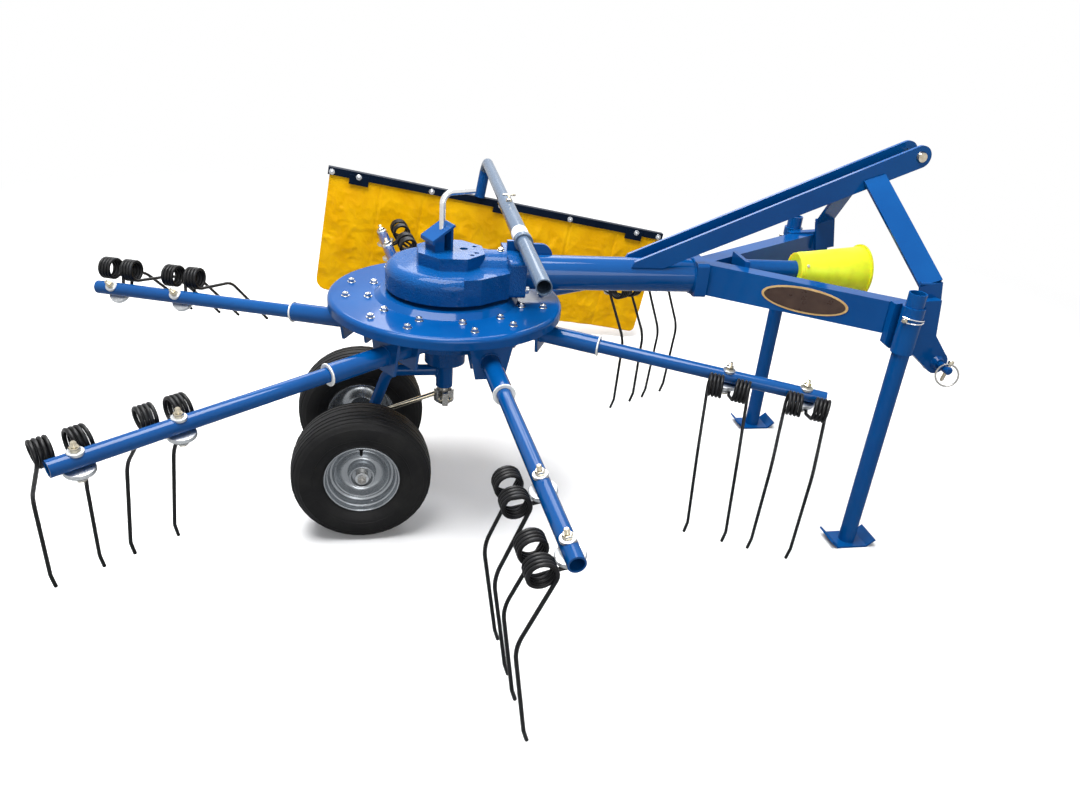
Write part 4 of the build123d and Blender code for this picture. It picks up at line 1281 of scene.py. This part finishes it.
# ---- hitch
@dataclass
class HitchSide:
    """The small fittings of one side of the hitch.

    The leg's wire clip goes round its sleeve and back, and ends `clip_rise` higher.
    """

    side: str
    sign: float
    plate: tuple[Vector, Vector]
    sleeve: tuple[Vector, Vector]
    pin_ahead: float
    pin_height: float
    pin_in: float = 0.013
    pin: Outline = mm((3.4, 0), (5, 5), (5, 50), (8, 52), (8, 60), (6.2, 62))
    pin_lean: Triple = (0.25, 0.0, 1.0)
    pin_down: float = 0.034
    ring_down: float = 0.012
    ring_out: float = 0.010
    ring_size: Pair = (0.030, 0.029)
    ring_wire: float = 0.0026
    clip_up: float = 0.092
    clip_gap: float = 0.003
    clip_from: float = -75.0
    clip_to: float = 95.0
    clip_rise: float = 0.012
    clip_wire: float = 0.0019
    clip_steps: int = 24
    clip_pin: Outline = mm((6.5, 0), (6.5, 16), (5, 18))
    clip_pin_up: float = 0.005
    clip_pin_in: float = 0.010

    def lynch_pin(self, shape: Shape) -> None:
        """Fit the spring pin with its ring across the lower hitch pin.

        Args:
            shape: The shape that takes it.
        """
        tip = self.plate[0].y if self.sign < 0 else self.plate[1].y
        spot = at(self.pin_ahead, tip - self.sign * self.pin_in, self.pin_height)
        up = Vector(self.pin_lean).normalized()
        shape.lathe(seated(spot - up * self.pin_down, up), self.pin, Coat.YELLOW_ZINC, 16)
        middle = spot - up * self.ring_down + at(0, self.sign * self.ring_out, 0)
        level = seated(middle, at(-0.5, self.sign * 0.8, 0.3), up)
        wide, tall = self.ring_size
        ring = [level @ at(wide * x, tall * y, 0) for x, y in circle(1.0, 40)]
        shape.sweep(ring, self.ring_wire, Coat.BRIGHT, looped=True)

    def leg_clip(self, shape: Shape) -> None:
        """Wrap the leg pin's wire clip round the leg's sleeve.

        Args:
            shape: The shape that takes it.
        """
        low, high = self.sleeve
        centre = (low + high) / 2
        centre.z = low.z + self.clip_up
        radius = (high.x - low.x) / 2 + self.clip_gap
        front, sweep = self.sign * 90, self.clip_to - self.clip_from
        there = [i / self.clip_steps for i in range(self.clip_steps + 1)]
        path = [centre + heading(front + self.clip_from + sweep * s) * radius for s in there]
        for share in there[1:]:
            rise = self.clip_rise * abs(sin(share * pi / 2))
            back = heading(front + self.clip_to - sweep * share) * radius
            path.append(centre + back + UP * rise)
        shape.sweep(path, self.clip_wire, Coat.CHROME)
        out = at(-0.85, self.sign * 0.5, 0).normalized()
        start = centre + UP * self.clip_pin_up + out * (radius - self.clip_pin_in)
        shape.lathe(seated(start, out), self.clip_pin, Coat.YELLOW_ZINC, 14)

    def build(self) -> None:
        """Make the side's fittings."""
        shape = Shape(f"hitch_fittings_{self.side}")
        self.lynch_pin(shape)
        self.leg_clip(shape)
        shape.built("frame")


@dataclass
class BlankPlate:
    """The bare oval plate on the right side member."""

    apex: Vector
    angle: float
    reach: float = 0.312
    member_half: float = 0.025
    half_long: float = 0.120
    half_tall: float = 0.037
    inner: Pair = (0.94, 0.86)

    def build(self) -> None:
        """Fix the oval to the member's outer face."""
        along = heading(-self.angle)
        outward = along.cross(UP)
        spot = self.apex + along * self.reach + outward * self.member_half
        place = seated(spot, outward, along)
        shape = Shape("blank_oval_plate")
        ring = [(self.half_long * x, self.half_tall * y) for x, y in circle(1.0, 40)]
        shape.prism(place, ring, 0.0016, Coat.BADGE_RIM, 0.0005)
        field = [(x * self.inner[0], y * self.inner[1]) for x, y in ring]
        shape.prism(shifted(place, z=0.0010), field, 0.0011, Coat.BADGE, 0.0003)
        shape.built("frame")


@dataclass
class DriveGuard:
    """The band and screws of the cone guard."""

    rear: Vector
    front: Vector
    band: Outline = mm((50.5, 10), (52.5, 11.2), (53.5, 23.8), (51.8, 25))
    screw: Fastener = Fastener(0.008, 0.004)
    screw_ahead: float = 0.0175
    screw_out: float = 0.0528

    def build(self) -> None:
        """Fit the clamping band and its screws."""
        middle = (self.rear + self.front) / 2
        place = seated(at(self.rear.x, middle.y, middle.z), AHEAD, UP)
        shape = Shape("guard_fittings")
        shape.lathe(place, self.band, Coat.LEMON, 48)
        for turn in (60, 180, 300):
            out = place.to_3x3() @ heading(turn)
            spot = place @ at(0, 0, self.screw_ahead) + out * self.screw_out
            self.screw.fit(shape, seated(spot, out), Coat.ZINC)
        shape.built("frame")


@dataclass
class Undercarriage:
    """The bolts of the wheel carriage's collar and the weld of its bent tube."""

    axis: Vector
    collar: tuple[Vector, Vector]
    bolt: Fastener = Fastener(0.013, 0.006, 0.009, 0.0015, 0.004, 0.004)
    bolt_side: float = 0.036
    bolt_ahead: float = 0.008
    bolt_down: float = 0.002
    weld: Pair = (0.0175, 0.003)
    weld_behind: float = 0.0235
    weld_height: float = 0.400

    def build(self) -> None:
        """Fit the collar's bolts, a head and a nut to each, and lay the weld."""
        shape = Shape("carriage_fittings")
        middle = (self.collar[0].z + self.collar[1].z) / 2 - self.bolt_down
        for side in (-self.bolt_side, self.bolt_side):
            for way in (1, -1):
                ahead = self.axis.x + way * self.bolt_ahead
                spot = at(ahead, self.axis.y + side, middle)
                self.bolt.fit(shape, seated(spot, AHEAD * way), Coat.YELLOW_ZINC)
        shape.built("carriage")
        welds = Shape("carriage_welds")
        spot = at(self.axis.x - self.weld_behind, self.axis.y, self.weld_height)
        welds.ring_weld(seated(spot, -AHEAD), *self.weld)
        welds.built("carriage")


# ---- studio
@dataclass
class Studio:
    """The pale floor, the soft lamps and the camera. Its angles are in degrees."""

    eye: Triple = (-0.4028, -2.3618, 1.4590)
    yaw: float = 14.78
    pitch: float = 28.08
    roll: float = 5.97
    lens: float = 28.966
    sensor: float = 36.0
    shift: Pair = (-0.0267, 0.0223)
    sight: float = 500.0
    floor_size: float = 120.0
    near: float = 2.1
    far: float = 4.2
    white: Colour = (1.0, 1.0, 1.0)
    room: Colour = (0.92, 0.95, 1.0)
    room_light: float = 0.24
    # name, place, height of its aim, width, watts
    lamps: tuple[tuple[str, Triple, float, float, float], ...] = (
        ("key_lamp", (-0.7, -0.3, 4.3), 0.4, 2.8, 370.0),
        ("fill_lamp", (0.4, -5.2, 2.2), 0.4, 3.2, 120.0),
        ("back_lamp", (0.3, 3.8, 3.6), 0.5, 3.0, 150.0),
    )

    def camera(self) -> None:
        """Stand the camera at its place."""
        pitch, roll = radians(self.pitch), radians(self.roll)
        ahead = heading(90 - self.yaw) * cos(pitch) - UP * sin(pitch)
        level = heading(-self.yaw)
        upright = level.cross(ahead)
        right = level * cos(roll) + upright * sin(roll)
        up = upright * cos(roll) - level * sin(roll)
        data = bpy.data.cameras.new("studio_camera")
        data.sensor_width = self.sensor
        data.lens = self.lens
        data.shift_x, data.shift_y = self.shift
        data.clip_end = self.sight
        camera = placed("studio_camera", data)
        turned = Matrix((right, up, -ahead)).transposed().to_4x4()
        camera.matrix_world = Matrix.Translation(self.eye) @ turned
        bpy.context.scene.camera = camera

    def floor(self) -> None:
        """Lay the floor, which keeps its shadows and fades to white away from the machine."""
        half = self.floor_size / 2
        data = bpy.data.meshes.new("studio_floor")
        corners = [(x * half, y * half, 0) for x, y in ((-1, -1), (1, -1), (1, 1), (-1, 1))]
        data.from_pydata(corners, [], [(0, 1, 2, 3)])
        recipe = Recipe("studio_floor", Roughness=0.9, Specular_IOR_Level=0.1)
        tone = recipe.span(recipe.cloud(scale=1.5, detail=2.0), (0.3, 0.7))
        seen = recipe.blend(tone, (0.90, 0.90, 0.905), (0.92, 0.92, 0.925))
        from_camera, direct = recipe.rays()
        recipe.feed("Base Color", recipe.blend(from_camera, (0.30, 0.305, 0.31), seen))
        away = recipe.span(recipe.length(recipe.place), (self.near, self.far))
        share = recipe.add("Math", {0: away, 1: direct}, operation="MULTIPLY").outputs[0]
        recipe.show(share, recipe.shader, recipe.shine("Emission", self.white, 1.0))
        data.materials.append(recipe.material)
        floor = placed("studio_floor", data)

    def light(self) -> None:
        """Hang the soft lamps, light the room softly and show it white."""
        for name, spot, aim, size, power in self.lamps:
            data = bpy.data.lights.new(name, "AREA")
            data.size = size
            data.energy = power
            place = Vector(spot)
            placed(name, data).matrix_world = seated(place, place - UP * aim)
        world = bpy.data.worlds.new("studio_room")
        graph = Graph(world)
        lit = graph.nodes["Background"]
        lit.inputs["Color"].default_value = (*self.room, 1.0)
        lit.inputs["Strength"].default_value = self.room_light
        _, direct = graph.rays()
        graph.show(direct, lit, graph.shine("Background", self.white, 1.0))
        bpy.context.scene.world = world

    def build(self) -> None:
        """Set up the studio."""
        bpy.context.scene.view_settings.view_transform = "Standard"
        self.camera()
        self.floor()
        self.light()


# ---- machine
@dataclass
class HayRake:
    """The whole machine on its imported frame.

    Places ahead are measured from the rotor's axis.
    """

    frame: dict[str, object]
    own_coats: tuple[tuple[str, Coat], ...] = (
        ("column_foot", Coat.BRIGHT),
        ("tine_arm_", Coat.TUBE),
        ("arm_housings", Coat.TUBE),
        ("main_tube", Coat.TUBE),
    )
    crease: float = 32.0
    disc_crown: float = 0.014
    sleeve_ahead: float = 0.206
    sleeve_height: float = 0.778
    curtain_side: float = 1.2
    pin_ahead: float = 1.332
    pin_height: float = 0.575
    members_ahead: float = 0.723
    members_angle: float = 33.9

    def joint(self, name: str) -> dict[str, object]:
        """The record's joint of a name."""
        return next(j for j in self.frame["joints"] if j["name"] == name)

    def joint_place(self, name: str) -> Vector:
        """Where a joint's axis passes."""
        return Vector(self.joint(name)["pos_m"])

    def coat_nodes(self) -> None:
        """Give every carried-over solid its own coat or the finish of its material slot."""
        coats = {coat.value.name: coat for coat in Coat}
        for part in self.frame["record"]["subparts"]:
            name, slot = part["node"], part["material_slot"]
            node = self.frame["nodes"][name]
            own = (coat for start, coat in self.own_coats if name.startswith(start))
            node.data.materials.clear()
            node.data.materials.append(next(own, coats[slot]).value.material)
            node.data.set_sharp_from_angle(angle=radians(self.crease))
            LOG.info("%s: %s", name, slot)

    def part_paints(self, line: Matrix) -> None:
        """Paint the curtain's sleeve and arm grey-blue along a line and blue elsewhere.

        Args:
            line: A frame with Z along the line.
        """
        for name, radius in (("curtain_sleeve", 0.0256), ("curtain_arm", 0.040)):
            paint = PartedPaint(name, Coat.GREY_BLUE.value, Coat.BLUE.value, line, radius)
            self.frame["nodes"][name].data.materials[0] = paint.material

    def build(self) -> None:
        """Build each sub-assembly in order."""
        self.coat_nodes()
        axis = self.joint_place("rotor_spin")
        TineArms(axis).build()
        RotorDisc(axis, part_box("rotor_disc")[1].z - self.disc_crown).build()
        for side, outward in (("right", -1.0), ("left", 1.0)):
            Wheel(side, self.joint_place(f"wheel_{side}_spin"), outward).build()
        slide = Vector(self.joint("curtain_slide")["axis"]).normalized()
        mouth = at(axis.x + self.sleeve_ahead, axis.y, self.sleeve_height)
        self.part_paints(seated(mouth, slide))
        CurtainSleeve(mouth, slide).build()
        Curtain(mouth + slide * (self.curtain_side / slide.y)).build()
        casting, tube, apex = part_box("gearbox"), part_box("main_tube"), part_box("apex_block")
        tube_height = (tube[0].z + tube[1].z) / 2
        Gearbox(axis, casting[1].x, tube_height, apex[0].x).build()
        for side, sign in (("right", -1.0), ("left", 1.0)):
            plate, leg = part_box(f"hitch_plate_{side}"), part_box(f"leg_sleeve_{side}")
            ahead = axis.x + self.pin_ahead
            HitchSide(side, sign, plate, leg, ahead, self.pin_height).build()
        meeting = at(axis.x + self.members_ahead, axis.y, tube_height)
        BlankPlate(meeting, self.members_angle).build()
        DriveGuard(*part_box("drive_guard")).build()
        Undercarriage(axis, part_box("column_foot")).build()


def main() -> None:
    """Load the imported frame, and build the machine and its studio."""
    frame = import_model()
    Studio().build()
    HayRake(frame).build()


if __name__ == "__main__":
    logging.basicConfig(level=logging.INFO, format="%(name)s: %(message)s")
    main()
